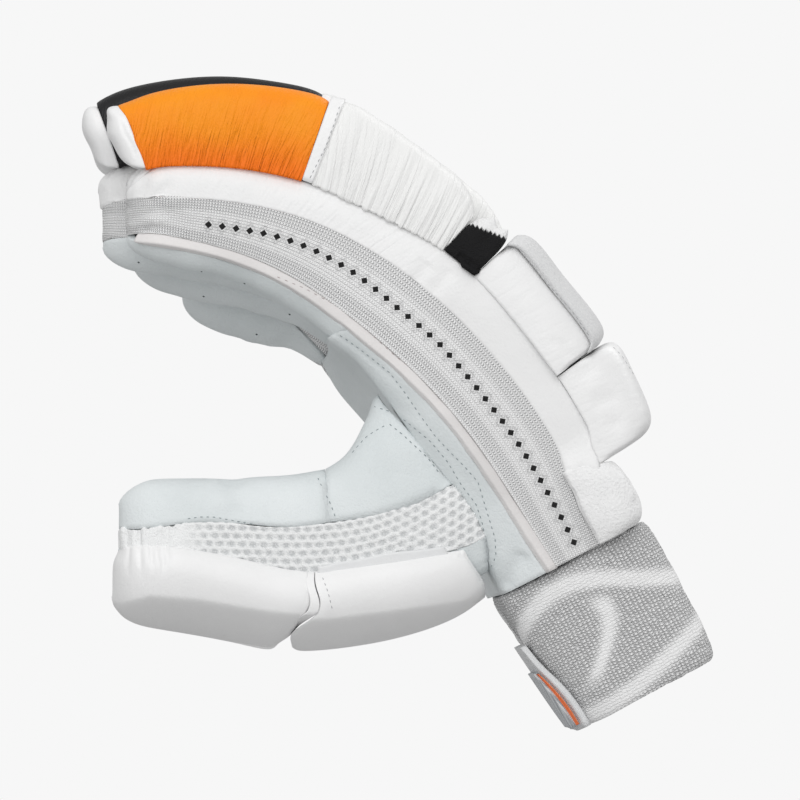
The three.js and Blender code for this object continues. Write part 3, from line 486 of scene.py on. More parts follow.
def leather(name, low, high, roughness, scale, depth, coat=0.0, folds=None, edge=None):
    """Leather with grain and two soft tones. Where its piece is gathered it has folds, given as their
    spacing, lean, length and depth, and an edge colour of painted shade, mixed in most where the piece is
    most gathered."""
    made, tree, shader = finish(name, high, roughness, coat=coat)
    place = node(tree, "ShaderNodeTexCoord")
    grain = node(tree, "ShaderNodeGroup", node_tree=leather_grain)
    grain.inputs["Scale"].default_value = scale
    tree.links.new(place.outputs["Object"], grain.inputs["Place"])
    spread = node(tree, "ShaderNodeMapRange", {"From Min": 0.3, "From Max": 0.7})
    tree.links.new(grain.outputs["Patches"], spread.inputs["Value"])
    tree.links.new(mixed_tint(tree, spread.outputs[0], low, high), shader.inputs["Base Color"])
    fine = put_bump(tree, shader, grain.outputs["Height"], depth)
    if folds:
        spacing, lean, length, fold_depth = folds
        run = node(tree, "ShaderNodeUVMap", uv_map="run")
        lines = node(tree, "ShaderNodeGroup", node_tree=fold_lines)
        lines.inputs["Spacing"].default_value = spacing
        lines.inputs["Lean"].default_value = lean
        lines.inputs["Length"].default_value = length
        gathered = node(tree, "ShaderNodeAttribute", attribute_name="gather")
        tree.links.new(run.outputs[0], lines.inputs["Place"])
        deep = node(tree, "ShaderNodeBump", {"Distance": fold_depth})
        folded = math_node(tree, "MULTIPLY", lines.outputs[0], gathered.outputs["Fac"])
        tree.links.new(folded, deep.inputs["Height"])
        tree.links.new(deep.outputs[0], fine.inputs["Normal"])
        # Painted shade: the edge colour darkens the leather where the piece is gathered most.
        if edge:
            painted_edge_shade = node(tree, "ShaderNodeMix", data_type="RGBA")
            painted_edge_shade.inputs["B"].default_value = tint(edge)
            tree.links.new(shader.inputs["Base Color"].links[0].from_socket, painted_edge_shade.inputs["A"])
            tree.links.new(math_node(tree, "POWER", gathered.outputs["Fac"], 3.0), painted_edge_shade.inputs["Factor"])
            tree.links.new(painted_edge_shade.outputs["Result"], shader.inputs["Base Color"])
    return made


def complete(piece, material, slot, *nodes):
    """Gives a piece its finish and its place in the glove."""
    piece.data.materials.clear()
    piece.data.materials.append(material)
    if nodes:
        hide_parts(*nodes)
    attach(piece, "root")


palm_leather = leather("palm_leather", "dbe1e2", "e8edee", 0.6, 1500, 0.00016)
palm_thread = finish("palm_thread", "8b9698", 0.8)[0]
palm_pieces = {}
for part in ("palm_index", "palm_middle", "palm_ring", "palm_little", "palm_hand",
             "thumb_root", "thumb_palm", "thumb_back"):
    piece = soft_copy(part + "_leather", part, 3 if part in ("palm_hand", "palm_index") else 2)
    s, v, side = place_on(piece, hand_line)
    soft_folds = value_noise(points_of(piece) / mm / (14, 22, 9), 3) * 0.35
    if part.startswith("palm_") and part != "palm_hand":
        bend_folds = waves(12, s / 7, side / 26, v / 20)
        soft_folds += 0.5 * bend_folds * smooth_step(70, 110, s)
    press(piece, soft_folds * (0.6 if part == "palm_hand" else 1))
    palm_pieces[part] = piece
palm = palm_pieces["palm_hand"]
grooves(palm, [((505, 590), (512, 572), (524, 552))], 1.2, 2.6)
grooves(palm, [((330, 328), (352, 345), (372, 362), (392, 378), (407, 394), (420, 415), (438, 440),
                (455, 462), (466, 480), (476, 500))], 0.25, 0.7)
welt = ((366, 410), (370, 403), (380, 404), (395, 411), (412, 422), (427, 433))
low_welt = ((371, 412), (385, 419), (400, 430), (413, 441), (425, 452), (440, 470), (452, 488))
grooves(palm, [welt, low_welt], -0.45, 1.0)
under_welt = [[(x - 2, y + 4) for x, y in low_welt]]
for piece in (palm, palm_pieces["thumb_root"]):
    grooves(piece, under_welt, 0.5, 0.8)
thumb = palm_pieces["thumb_palm"]
nudge(palm, ((334, 344, 15, -10, -3),), near_side=True)
nudge(palm_pieces["thumb_root"], ((386, 405, 15, -7, -4),))
grooves(thumb, [((229, 474), (236, 490), (248, 514))], 1.5, 3.6)
grooves(thumb, [((219, 474), (226, 495), (232, 510))], -0.6, 3.6)
nudge(thumb, ((233, 481, 14, 0, 2),))
for piece in palm_pieces.values():
    complete(piece, palm_leather, "palm_leather", piece.name.removesuffix("_leather"))
seam_a = ((312, 315), (332, 330), (350, 342), (365, 353), (390, 373), (405, 393), (420, 415), (435, 436),
          (450, 452), (464, 466), (478, 482), (487, 512), (495, 538), (496, 556), (490, 570), (484, 577))
seam_b = ((372, 406), (395, 413), (412, 426), (430, 441), (447, 461), (462, 486), (476, 504), (482, 522),
          (487, 545), (485, 562))
seam_c = ((388, 423), (402, 434), (416, 447), (428, 458), (440, 474))
thumb_seam = ((386, 425), (375, 431), (366, 437), (358, 446), (352, 453))
cap_seam = ((317, 476), (322, 487), (331, 505), (336, 519))
sew("palm_stitches", [palm, palm_pieces["thumb_root"], thumb],
    [seam_a, seam_b, seam_c, thumb_seam, cap_seam], palm_thread, "palm_leather", 2.1, 1.1, 0.34)
grooves(thumb, [((315, 468), (323, 480), (333, 500), (342, 523))], -0.5, 0.8)
grooves(thumb, [((318, 468), (327, 480), (337, 500), (346, 523))], 0.6, 0.7)
# The vent holes are short dark-grey threads laid on the uncut leather: painted shade standing in for the
# dark inside of each hole.
hole_places = ((138, 262), (154, 289), (201, 271), (244, 283), (203, 296), (289, 314), (256, 334),
               (330, 382), (336, 389))
vent_holes = [((x, y), (x + 1.2, y + 0.6)) for x, y in hole_places]
sew("palm_vent_holes", list(palm_pieces.values()), vent_holes,
    finish("vent_hole_shade", "4c5658", 0.8)[0], "palm_leather", 0.36, 0.8, 0.6)


# White leather on the backs of the fingers, the back of the hand and the long side strip
# Smooth coated leather, stretched over the stuffing, with gathers where it is drawn in at the tips.
def slide(piece, line, along, across):
    """Moves a piece's points along its spine and away from it, by distances in mm."""
    at = points_of(piece)
    heading = place_along(line, at)[2]
    at[:, 0] += (np.cos(heading) * along + np.sin(heading) * across) * mm
    at[:, 2] += (np.sin(heading) * along - np.cos(heading) * across) * mm
    set_points(piece, at)


def band_across(s, v, bin_width=4.0):
    """How far across its band each point is, from 0 at the low edge to 1 at the top one."""
    bins = np.arange(s.min() - 1, s.max() + bin_width + 1, bin_width)
    middle, low, top = [], [], []
    for a, b in zip(bins[:-1], bins[1:]):
        inside = (s >= a) & (s < b)
        if inside.sum() > 3:
            middle.append((a + b) / 2)
            low.append(v[inside].min())
            top.append(v[inside].max())
    low_here, top_here = np.interp(s, middle, low), np.interp(s, middle, top)
    return (v - low_here) / (top_here - low_here), top_here - low_here


def mark(piece, name, values):
    """Keeps a value for each point of a piece, for its material."""
    attribute = piece.data.attributes.new(name, "FLOAT", "POINT")
    levels = np.broadcast_to(values, len(piece.data.vertices)).astype(np.float32)
    attribute.data.foreach_set("value", levels)


def uv_from(piece, u, v):
    """A UV map from values at the points."""
    layer = piece.data.uv_layers.new(name="run")
    corner = np.empty(len(piece.data.loops), np.int64)
    piece.data.loops.foreach_get("vertex_index", corner)
    layer.data.foreach_set("uv", np.stack([u[corner], v[corner]], axis=1).ravel())


def map_run(piece, line):
    """A UV map in mm: along the spine, and round the piece from its near side over its top."""
    s, v, side = place_on(piece, line)
    uv_from(piece, s, v + side)
    return s, v, side


white_leather = leather("white_leather", "f1f1f1", "f6f6f6", 0.5, 1300, 0.0001, coat=0.1,
                        folds=(2.2, 0.25, 16.0, 0.0003))
fingertip = (150, 176)
for part in ("back_index", "back_middle", "back_ring", "back_little", "hand_back", "side_strip"):
    piece = soft_copy(part + "_leather", part, 3, swell=0.2)
    s, v, side = map_run(piece, hand_line)
    if part == "side_strip":
        fraction, _ = band_across(s, v)
        raised = 0.9 * smooth_step(0.8, 1.0, fraction) - 0.4 * (1 - smooth_step(0, 0.2, fraction))
        slide(piece, hand_line, 0, raised)
        mark(piece, "gather", 0.25 * smooth_step(60, 110, s))
        soft = waves(21, s / 16, v / 9, side / 40)
        press(piece, 0.35 * soft * faces_viewer(piece))
        knuckle_folds = ((430, 262), (418, 278), (398, 292)), ((452, 268), (440, 284), (428, 292))
        grooves(piece, knuckle_folds, 0.5, 2.4)
        nudge(piece, ((132, 190, 14, -3, 0), (146, 206, 9, 0, 3), (596, 456, 16, 3, 16, 12),
                      (572, 464, 10, 0, 9, 6)))
        grooves(piece, [((158, 212), (163, 194), (173, 172)), ((138, 211), (142, 194), (151, 174)),
                        ((149, 212), (152, 199), (159, 182))], 0.8, 1.4, tail=18)
    else:
        gathers = waves(6, side / 3.4, v / 30, s / 18)
        tip = smooth_step(*fingertip, s)
        press(piece, 0.9 * gathers * tip)
        mark(piece, "gather", 0.2 * tip)
        if part == "back_middle":
            nudge(piece, ((112, 182, 13, -5, 0), (122, 206, 10, -1, 4)))
            tip_folds = ((127, 212), (126, 200), (130, 188)), ((118, 208), (117, 198), (119, 190))
            grooves(piece, tip_folds, 0.8, 1.2)
    complete(piece, white_leather, "white_leather", part)


# Knit bands and gussets
# Stretch knit along the sides of the fingers and the hand: rows of small loops run along it, darker
# near both edges, and a row of small black diamonds is knitted down the middle of the outer ones.
knit, taken, given = group(
    "knit_rows",
    [("Along", "NodeSocketFloat", 0.0), ("Row", "NodeSocketFloat", 0.0),
     ("Loop", "NodeSocketFloat", 0.9)],
    [("Height", "NodeSocketFloat"), ("Mark", "NodeSocketFloat")],
)
in_row = math_node(knit, "PINGPONG", taken.outputs["Row"], 0.5)
loop = math_node(
    knit, "ADD", math_node(knit, "DIVIDE", taken.outputs["Along"], taken.outputs["Loop"]),
    math_node(knit, "MULTIPLY", in_row, 1.2))
in_loop = math_node(knit, "PINGPONG", loop, 0.5)
row_rise = math_node(knit, "MINIMUM", math_node(knit, "MULTIPLY", in_row, 4.0), 1.0)
loop_rise = math_node(knit, "MINIMUM", math_node(knit, "MULTIPLY", in_loop, 3.4), 1.0)
yarn = math_node(knit, "MULTIPLY", row_rise, math_node(knit, "ADD", loop_rise, 0.6))
knit.links.new(yarn, given.inputs["Height"])
between_loops = math_node(knit, "SUBTRACT", 1.0, loop_rise)
knit.links.new(math_node(knit, "MULTIPLY", between_loops, row_rise), given.inputs["Mark"])

row_count = 17
first_diamond = 2.0
diamond_step = 4.47
diamond_half = 1.15
lozenge_inside = 1.5
lozenge_outside = 3.1
knit_finish, tree, shader = finish("grey_knit", "ececec", 0.9, sheen=0.2)
run = node(tree, "ShaderNodeUVMap", uv_map="run")
split = node(tree, "ShaderNodeSeparateXYZ")
tree.links.new(run.outputs[0], split.inputs[0])
rows = node(tree, "ShaderNodeGroup", node_tree=knit)
tree.links.new(split.outputs["X"], rows.inputs["Along"])
tree.links.new(math_node(tree, "MULTIPLY", split.outputs["Y"], row_count), rows.inputs["Row"])
zones = node(tree, "ShaderNodeValToRGB")
zone_stops = ((0.02, 0.15), (0.08, 0.75), (0.24, 0.8), (0.30, 0.15), (0.40, 0.22), (0.70, 0.15),
              (0.77, 0.7), (0.96, 0.8))
for place_of, level in zone_stops[1:-1]:
    zones.color_ramp.elements.new(place_of)
for stop, (place_of, level) in zip(zones.color_ramp.elements, zone_stops):
    stop.position = place_of
    stop.color = (level, level, level, 1)
tree.links.new(split.outputs["Y"], zones.inputs[0])
off_row = node(tree, "ShaderNodeAttribute", attribute_name="off_row")
from_first = math_node(tree, "SUBTRACT", split.outputs["X"], first_diamond)
step_share = math_node(tree, "PINGPONG", math_node(tree, "DIVIDE", from_first, diamond_step), 0.5)
to_diamond = math_node(tree, "MULTIPLY", step_share, diamond_step)
reach = math_node(tree, "ADD", to_diamond, math_node(tree, "ABSOLUTE", off_row.outputs["Fac"]))
black = node(tree, "ShaderNodeMapRange", {
    "From Min": diamond_half, "From Max": 1.3, "To Min": 1.0, "To Max": 0.0})
tree.links.new(reach, black.inputs["Value"])
lozenge = node(tree, "ShaderNodeMapRange", {"From Min": lozenge_inside, "From Max": 1.9})
tree.links.new(reach, lozenge.inputs["Value"])
lozenge_end = node(tree, "ShaderNodeMapRange", {
    "From Min": 2.6, "From Max": lozenge_outside, "To Min": 1.0, "To Max": 0.0})
tree.links.new(reach, lozenge_end.inputs["Value"])
in_lozenge = math_node(tree, "MULTIPLY", lozenge.outputs[0], lozenge_end.outputs[0])
net = math_node(tree, "MULTIPLY", in_lozenge, 0.2)
marks = math_node(tree, "MULTIPLY", rows.outputs["Mark"], zones.outputs["Color"])
zone_tone = math_node(tree, "MULTIPLY", zones.outputs["Color"], 0.08)
all_marks = math_node(tree, "ADD", marks, math_node(tree, "ADD", net, zone_tone))
shade = math_node(tree, "MINIMUM", all_marks, 0.9)
cloth = mixed_tint(tree, shade, "ffffff", "66686b")
ink = node(tree, "ShaderNodeMix", data_type="RGBA")
ink.inputs["B"].default_value = tint("040404")
tree.links.new(cloth, ink.inputs["A"])
tree.links.new(black.outputs[0], ink.inputs["Factor"])
tree.links.new(ink.outputs["Result"], shader.inputs["Base Color"])
put_bump(tree, shader, rows.outputs["Height"], 0.0002)

diamond_row = np.array(((-20, 2.0), (2, 2.0), (40, 3.0), (78, 2.4), (95, 1), (115, 1), (133, 0),
                        (150, -0.7), (170, -0.7)))
diamonds_from = -0.3
diamonds_to = 165.1
no_diamond = 30
for part in ("knit_side_band", "gusset_middle", "gusset_ring", "knit_outer_band"):
    piece = soft_copy(part + "_fabric", part, 4 if part == "knit_side_band" else 3, swell=0.1)
    s, v, side = place_on(piece, hand_line)
    across, width = band_across(s, v, 20.0 if part == "knit_outer_band" else 4.0)
    near_tip = smooth_step(150, 178, s)
    fold = waves(5, s / 7.0, across * 2.2, side / 30)
    ripple = waves(9, s / 2.6, across * 5.0, side / 30)
    beside = side[(s > 140) & (s < 165)]
    turned = np.abs(side - (beside.max() if part == "knit_outer_band" else beside.min()))
    round_tip = 0.9 * np.maximum(turned - 1, 0) * smooth_step(140, 150, s)
    uv_from(piece, s + round_tip, across + 0.04 * fold * near_tip)
    in_row = v - np.interp(s, diamond_row[:, 0], diamond_row[:, 1])
    if part == "knit_outer_band":
        in_row = (across - 0.5) * width
    has_diamonds = part in ("knit_side_band", "knit_outer_band")
    shown = (s < diamonds_to) & (s > diamonds_from) & has_diamonds
    mark(piece, "off_row", np.where(shown, in_row, no_diamond))
    ribs = np.abs(np.sin(across * row_count * math.pi)) ** 0.7
    press(piece, ribs * 0.12 + (fold * 0.7 + ripple * 0.25) * near_tip - 0.1)
    if part == "knit_side_band":
        tip_folds = ((128, 222), (142, 214), (158, 212), (180, 216)), ((132, 232), (150, 228), (174, 229))
        tip_rolls = ((131, 212), (144, 206), (160, 206)), ((134, 225), (150, 220), (172, 222))
        grooves(piece, tip_folds, 0.6, 1.5, tail=16)
        grooves(piece, tip_rolls, -0.5, 1.5, tail=16)
    complete(piece, knit_finish, "grey_knit", part)


# Palm edge piping
# A soft turned edge of pinkish-grey leather between the knit and the palm.
piping_finish = leather("piping", "dedbda", "ebe8e7", 0.6, 1500, 0.0001)
piece = soft_copy("palm_edge_piping_leather", "palm_edge_piping", 3, swell=0.25)
s, v, side = place_on(piece, hand_line)
press(piece, 0.25 * waves(31, s / 5, v / 8, side / 20))
complete(piece, piping_finish, "piping", "palm_edge_piping")
edge_seam = ((275, 276), (304, 288), (335, 305), (363, 327), (394, 355), (419, 375))
sew("palm_edge_stitches", [piece], [edge_seam],
    finish("piping_thread", "b9aead", 0.8)[0], "piping", 2.6, 1.2, 0.3)


# Thumb mesh
# White spacer mesh along both sides of the thumb, with rows of oval dimples over a closed backing. The
# dimples' floors are painted darker grey, as painted shade in the hollows.
mesh_finish, tree, shader = finish("white_mesh", "f0f1f1", 0.85, sheen=0.2)
place = node(tree, "ShaderNodeTexCoord")
fibres = node(tree, "ShaderNodeTexNoise", {"Scale": 1900.0, "Detail": 2.0})
hollows = node(tree, "ShaderNodeAttribute", attribute_name="dimple")
hollow_shade_cells = node(tree, "ShaderNodeTexVoronoi", {"Scale": 1500.0})
for texture in (fibres, hollow_shade_cells):
    tree.links.new(place.outputs["Object"], texture.inputs["Vector"])
# Painted shade: the dimples' floors are darkened, varied by a cell texture.
hollow_shade = math_node(tree, "MULTIPLY", hollows.outputs["Fac"], math_node(
    tree, "ADD", math_node(tree, "MULTIPLY", hollow_shade_cells.outputs["Distance"], 1.2), 0.35))
tree.links.new(mixed_tint(tree, hollow_shade, "fbfcfc", "d2d4d5"), shader.inputs["Base Color"])
put_bump(tree, shader, fibres.outputs["Fac"], 0.0005)
piece = soft_copy("thumb_mesh_fabric", "thumb_mesh", 4, swell=0.4)
s, v, side = place_on(piece, thumb_line)
dimple_step = 3.5
dimple_rise = 2.55
dimple_floor, dimple_rim = 0.6, 1.35
dimple_depth = 0.3
row = v / dimple_rise
column = s / dimple_step + 0.5 * (np.floor(row) % 2)
off_column = (column - np.round(column)) * dimple_step
off_row = (row - np.floor(row) - 0.5) * dimple_rise
dimple = 1 - smooth_step(dimple_floor, dimple_rim, np.hypot(off_column * 0.8, off_row * 1.1))
dimple *= 1 - smooth_step(84, 96, s)
mark(piece, "dimple", dimple)
folds = waves(8, s / 1.3, v / 9, side / 3) * smooth_step(88, 100, s)
soft = value_noise(points_of(piece) / mm / (9, 9, 6), 13)
press(piece, -dimple_depth * dimple + folds * 1.2 + 0.25 * soft)
complete(piece, mesh_finish, "white_mesh", "thumb_mesh")

binding_finish = leather("binding", "eaebec", "f1f2f2", 0.7, 1500, 0.00008)
piece = soft_copy("thumb_binding_tape", "thumb_binding", 3)
nudge(piece, ((318, 566, 14, 4, 4), (350, 562, 40, 0, 4), (430, 548, 40, 0, 4)))
complete(piece, binding_finish, "piping", "thumb_binding")
mesh_seam = ((186, 519), (200, 517), (214, 517), (230, 520), (246, 523), (262, 526))
sew("thumb_leather_stitches", [thumb, palm_pieces["thumb_back"], palm_pieces["thumb_root"]],
    [mesh_seam], palm_thread, "palm_leather", 2.0, 1.0, 0.32)


# Thumb pads
# Two stuffed pads of smooth white leather guard the back of the thumb, with a piped joint between.
# Their fronts turn under along a soft edge, and the tip pad is pinched in gathers at its end.
def fold_under(piece, edge, slope, soft=1.6):
    """Leans the lower part of a pad's front away from the viewer, below an edge in picture pixels."""
    pixel = picture_width / picture_pixels / mm
    at = points_of(piece)
    seen = seen_in_picture(at)
    edge = np.array(edge, float)
    below = (seen[:, 1] - np.interp(seen[:, 0], edge[:, 0], edge[:, 1])) * pixel
    lean = slope * np.where(below > 0, np.sqrt(below ** 2 + soft ** 2) - soft, 0)
    near = 1 - smooth_step(0.35, 0.75, (at[:, 1] - at[:, 1].min()) / np.ptp(at[:, 1]))
    at[:, 1] += lean * near * mm
    set_points(piece, at)


pad_leather = leather("pad_leather", "f3f3f3", "f7f7f7", 0.42, 1300, 0.00007, coat=0.12,
                      folds=(2.4, 0.1, 18.0, 0.00009))
pinches = (((128, 530), (127, 580)), ((139, 526), (141, 582)), ((150, 526), (153, 576)),
           ((159, 527), (165, 580)), ((168, 530), (175, 568)))
under_slope = 1.15
joint_low_edge = 612
thumb_pieces = {}
for part in ("thumb_tip_pad", "thumb_base_pad", "thumb_pad_piping"):
    piece = soft_copy(part + "_leather", part, 4, swell=0.2)
    s, v, _ = map_run(piece, thumb_line)
    if part == "thumb_tip_pad":
        fold_under(piece, ((105, 596), (120, 602), (150, 594), (200, 598), (306, 616)), under_slope)
        grooves(piece, pinches, 0.6, 0.9, tail=24)
        mark(piece, "gather", 0.5 * smooth_step(80, 104, s))
        nudge(piece, ((298, 608, 22, 15, 0), (294, 636, 13, 5, 0), (284, 648, 9, -4, -1),
                      (113, 545, 13, 5, 4)))
        slide(piece, thumb_line, -0.9 * (1 - smooth_step(0, 6, s - s.min())), 0)
    elif part == "thumb_base_pad":
        fold_under(piece, ((290, 616), (322, 618), (395, 609), (475, 598), (492, 592)), under_slope)
        mark(piece, "gather", 0.12)
        nudge(piece, ((305, 608, 22, 15, 0), (304, 634, 14, -8, 0), (290, 650, 8, 2, -2)))
        slide(piece, thumb_line, 0.7 * smooth_step(-6, 0, s - s.max()), 0)
        grooves(piece, [((457, 553), (470, 558), (480, 572), (484, 584))], 0.5, 0.9)
        grooves(piece, [((461, 549), (475, 556), (485, 571), (488, 586))], -0.5, 1.2)
    else:
        fold_under(piece, ((290, 616), (330, 618)), under_slope)
        nudge(piece, ((301, 608, 22, 15, 0),))
        at = points_of(piece)
        below = np.maximum(seen_in_picture(at)[:, 1] - joint_low_edge, 0)
        low = below * picture_width / picture_pixels
        set_points(piece, at + np.stack([0 * low, 0 * low, 0.45 * low], axis=1))
        mark(piece, "gather", 0.0)
    thumb_pieces[part] = piece
    complete(piece, pad_leather, "pad_leather", part)
pad_thread = finish("pad_thread", "b4b5b7", 0.7)[0]
pad_seams = [((322, 576), (328, 592), (333, 612)), ((465, 553), (476, 562), (482, 576))]
sew("thumb_pad_stitches", list(thumb_pieces.values()), pad_seams, pad_thread, "pad_leather",
    1.9, 1.1, 0.3)


# Finger pads
# Each finger has a pleated knuckle pad, a piped joint, a long tip pad and a rounded end cap.
# The pads are sewn down over the white leather, and wrinkled where their low edges are drawn in.
def tuck(piece, line, depth=0.9):
    """Slides the low edge of a pad down over what it is sewn to, by a depth in mm."""
    s, v, _ = place_along(line, points_of(piece))
    slide(piece, line, 0, -depth * (1 - smooth_step(0, 0.25, band_across(s, v)[0])))


pleat_lean = 0.17
pleat_step = 2.25
ribbed_leather = leather("ribbed_leather", "f2f2f1", "f7f7f6", 0.5, 1300, 0.00008,
                         folds=(0.9, -pleat_lean, 60.0, 0.00022))
# The orange leather's edge colour is painted shade: a deeper orange towards the tucked low edges of the
# tip pads.
orange_leather = leather("orange_leather", "ff8a08", "ffa010", 0.55, 1500, 0.00014,
                         folds=(0.8, 0.12, 14.0, 0.00034), edge="ff7810")
black_leather = leather("black_leather", "161617", "1d1d1f", 0.45, 1300, 0.00012,
                        folds=(1.1, 0.15, 13.0, 0.0003))
cap_leather = leather("cap_leather", "f1f1f1", "f7f7f7", 0.35, 1300, 0.00004, coat=0.25)
for skin in (orange_leather, black_leather):
    skin.node_tree.nodes["Principled BSDF"].inputs["Specular IOR Level"].default_value = 0.3
finger_names = ("index", "middle", "ring", "little")
for finger in finger_names:
    fineness = 4 if finger == "index" else 3
    piece = soft_copy("knuckle_pad_" + finger + "_leather", "knuckle_pad_" + finger, fineness,
                      crease=60, swell=0.2)
    s, v, side = map_run(piece, hand_line)
    low = 1 - smooth_step(0, 0.9, band_across(s, v)[0])
    lean = s - pleat_lean * v
    wander = waves(14, lean / 6, v / 16, side / 30)
    pleats = np.abs(np.sin(math.pi * (lean / pleat_step + 0.35 * wander))) ** 0.45
    ruffle = waves(15, lean / 1.9, v / 12, side / 14)
    press(piece, 0.4 * (pleats - 1) * (0.35 + 1.1 * low) + 0.6 * ruffle * smooth_step(0.6, 1.0, low))
    slide(piece, hand_line, 0.5 * smooth_step(-5, 0, s - s.max()), 0)
    mark(piece, "gather", 0.45 + 0.55 * low)
    tuck(piece, hand_line, 0.6)
    complete(piece, ribbed_leather, "ribbed_leather", "knuckle_pad_" + finger)
    if finger == "index":
        index_knuckle = piece

    piece = soft_copy("pad_piping_" + finger + "_leather", "pad_piping_" + finger, 3,
                      crease=60, swell=0.3)
    mark(piece, "gather", 0.0)
    complete(piece, pad_leather, "piping", "pad_piping_" + finger)
    if finger == "index":
        piping_seam = ((340, 105), (334, 124), (326, 146), (316, 166), (310, 178))
        sew("index_piping_stitches", [piece, index_knuckle], [piping_seam], pad_thread, "piping",
            2.0, 1.2, 0.34)

    piece = soft_copy("tip_pad_" + finger + "_leather", "tip_pad_" + finger, fineness,
                      crease=60, swell=0.2)
    s, v, side = map_run(piece, hand_line)
    fraction = band_across(s, v)[0]
    low = 1 - smooth_step(0, 0.9, fraction)
    lean = s + 0.12 * v
    wrinkle = np.minimum(np.abs(waves(16, lean / 1.35, v / 11, side / 30)) * 5, 1)
    press(piece, 0.15 * (wrinkle - 1) * low * faces_viewer(piece))
    mark(piece, "gather", 0.22 + 0.78 * low)
    tuck(piece, hand_line, 0.6)
    if finger == "index":
        nudge(piece, ((118, 106, 10, -5, 0), (138, 142, 10, -2, 0), (205, 84, 60, 0, 1)))
    if finger == "middle":
        slide(piece, hand_line, 0, 1.4 * smooth_step(0.6, 1.0, fraction))
        nudge(piece, ((230, 76, 40, 0, -1), (326, 98, 14, 3, 1)))
    is_orange = finger in ("index", "ring")
    skin, label = (orange_leather, "orange_leather") if is_orange else (black_leather, "black_leather")
    complete(piece, skin, label, "tip_pad_" + finger)

    piece = soft_copy("tip_cap_" + finger + "_leather", "tip_cap_" + finger, 4, crease=60, swell=0.4)
    mark(piece, "gather", 0.0)
    if finger == "index":
        nudge(piece, ((110, 138, 17, -8, 0), (122, 160, 14, -3, 2), (114, 108, 9, -4, 1)))
        grooves(piece, [((119, 116), (125, 134), (133, 147), (137, 162))], 0.22, 0.9, tail=12)
    else:
        nudge(piece, ((84, 134, 17, -4, 0), (100, 166, 14, -2, 2)))
    complete(piece, cap_leather, "cap_leather", "tip_cap_" + finger)


# Pads across the back of the hand
# A broad pad behind the knuckles with a grey textile top panel, and a plain pad nearer the wrist.
textile, tree, shader = finish("grey_textile", "e0e0e1", 0.9, sheen=0.2)
place = node(tree, "ShaderNodeTexCoord")
weave = node(tree, "ShaderNodeTexNoise", {"Scale": 1400.0, "Detail": 3.0})
tree.links.new(place.outputs["Object"], weave.inputs["Vector"])
tree.links.new(mixed_tint(tree, weave.outputs["Fac"], "cccdce", "efefef"), shader.inputs["Base Color"])
put_bump(tree, shader, weave.outputs["Fac"], 0.0004)
back_pads = {}
for part, skin, label in (
    ("main_pad", pad_leather, "pad_leather"), ("wrist_pad", pad_leather, "pad_leather"),
    ("main_pad_panel", textile, "grey_textile"),
):
    piece = soft_copy(part + "_cover", part, 4, crease=60, swell=0.3)
    s, v, side = map_run(piece, hand_line)
    if part != "main_pad_panel":
        tuck(piece, hand_line, 1.7)
        press(piece, 0.2 * waves(23, s / 9, v / 13, side / 12))
        mark(piece, "gather", 0.5)
    if part == "main_pad":
        corner_folds = (((556, 352), (564, 343), (572, 338)), ((557, 356), (568, 350), (578, 347)),
                        ((552, 350), (556, 340), (560, 334)), ((560, 358), (572, 356), (584, 352)))
        panel_edge = ((515, 240), (526, 256), (547, 282), (573, 311), (591, 337), (595, 343))
        grooves(piece, corner_folds, 0.35, 1.6, tail=14)
        grooves(piece, [panel_edge], 0.5, 0.7)
    if part == "wrist_pad":
        grooves(piece, [((572, 380), (584, 371), (602, 362)), ((588, 410), (604, 400), (626, 396)),
                        ((604, 432), (612, 424), (630, 420))], 0.4, 3.0, tail=16)
        nudge(piece, ((598, 446, 15, -5, 1),))
        grooves(piece, [((610, 340), (622, 354), (637, 378), (647, 398), (655, 416))], 0.35, 0.6)
    back_pads[part] = piece
    complete(piece, skin, label, part)
back_seams = [((516, 243), (526, 257), (547, 283), (573, 312), (590, 337)),
              ((612, 346), (622, 356), (637, 380), (647, 399), (653, 412))]
sew("back_pad_stitches", list(back_pads.values()), back_seams, pad_thread, "pad_leather", 2.0, 1.1, 0.3)


# Flex inserts
# Folded black webbing bridges the gap between the broad pad and the outer knuckle pads. The top of
# the index one is covered by a white leather end with a pinked edge.
webbing = leather("black_webbing", "0d0d0e", "141415", 0.75, 2200, 0.0003)
tree = webbing.node_tree
shader = tree.nodes["Principled BSDF"]
shader.inputs["Specular IOR Level"].default_value = 0.25
white_end = node(tree, "ShaderNodeAttribute", attribute_name="white_end")
covered = node(tree, "ShaderNodeMix", data_type="RGBA")
covered.inputs["B"].default_value = tint("f1f1f1")
tree.links.new(shader.inputs["Base Color"].links[0].from_socket, covered.inputs["A"])
tree.links.new(white_end.outputs["Fac"], covered.inputs["Factor"])
tree.links.new(covered.outputs["Result"], shader.inputs["Base Color"])
tooth_step = 4.4
for finger in ("index", "little"):
    piece = soft_copy("knuckle_flex_" + finger + "_web", "knuckle_flex_" + finger, 4,
                      crease=60, swell=0.2)
    grooves(piece, [((456, 254), (470, 264), (486, 276))], 0.8, 1.2)
    grooves(piece, [((460, 262), (472, 270), (488, 280))], -0.8, 1.2)
    grooves(piece, [((474, 226), (490, 232), (508, 240))], -0.6, 2.4)
    seen = seen_in_picture(points_of(piece))
    tooth = np.abs((seen[:, 0] / tooth_step) % 1 - 0.5) * 6
    under_edge = seen[:, 1] - np.interp(seen[:, 0], (470, 512), (222, 239)) - tooth
    mark(piece, "white_end", 1 - smooth_step(-0.6, 0.6, under_edge) if finger == "index" else 0.0)
    complete(piece, webbing, "black_webbing", "knuckle_flex_" + finger)


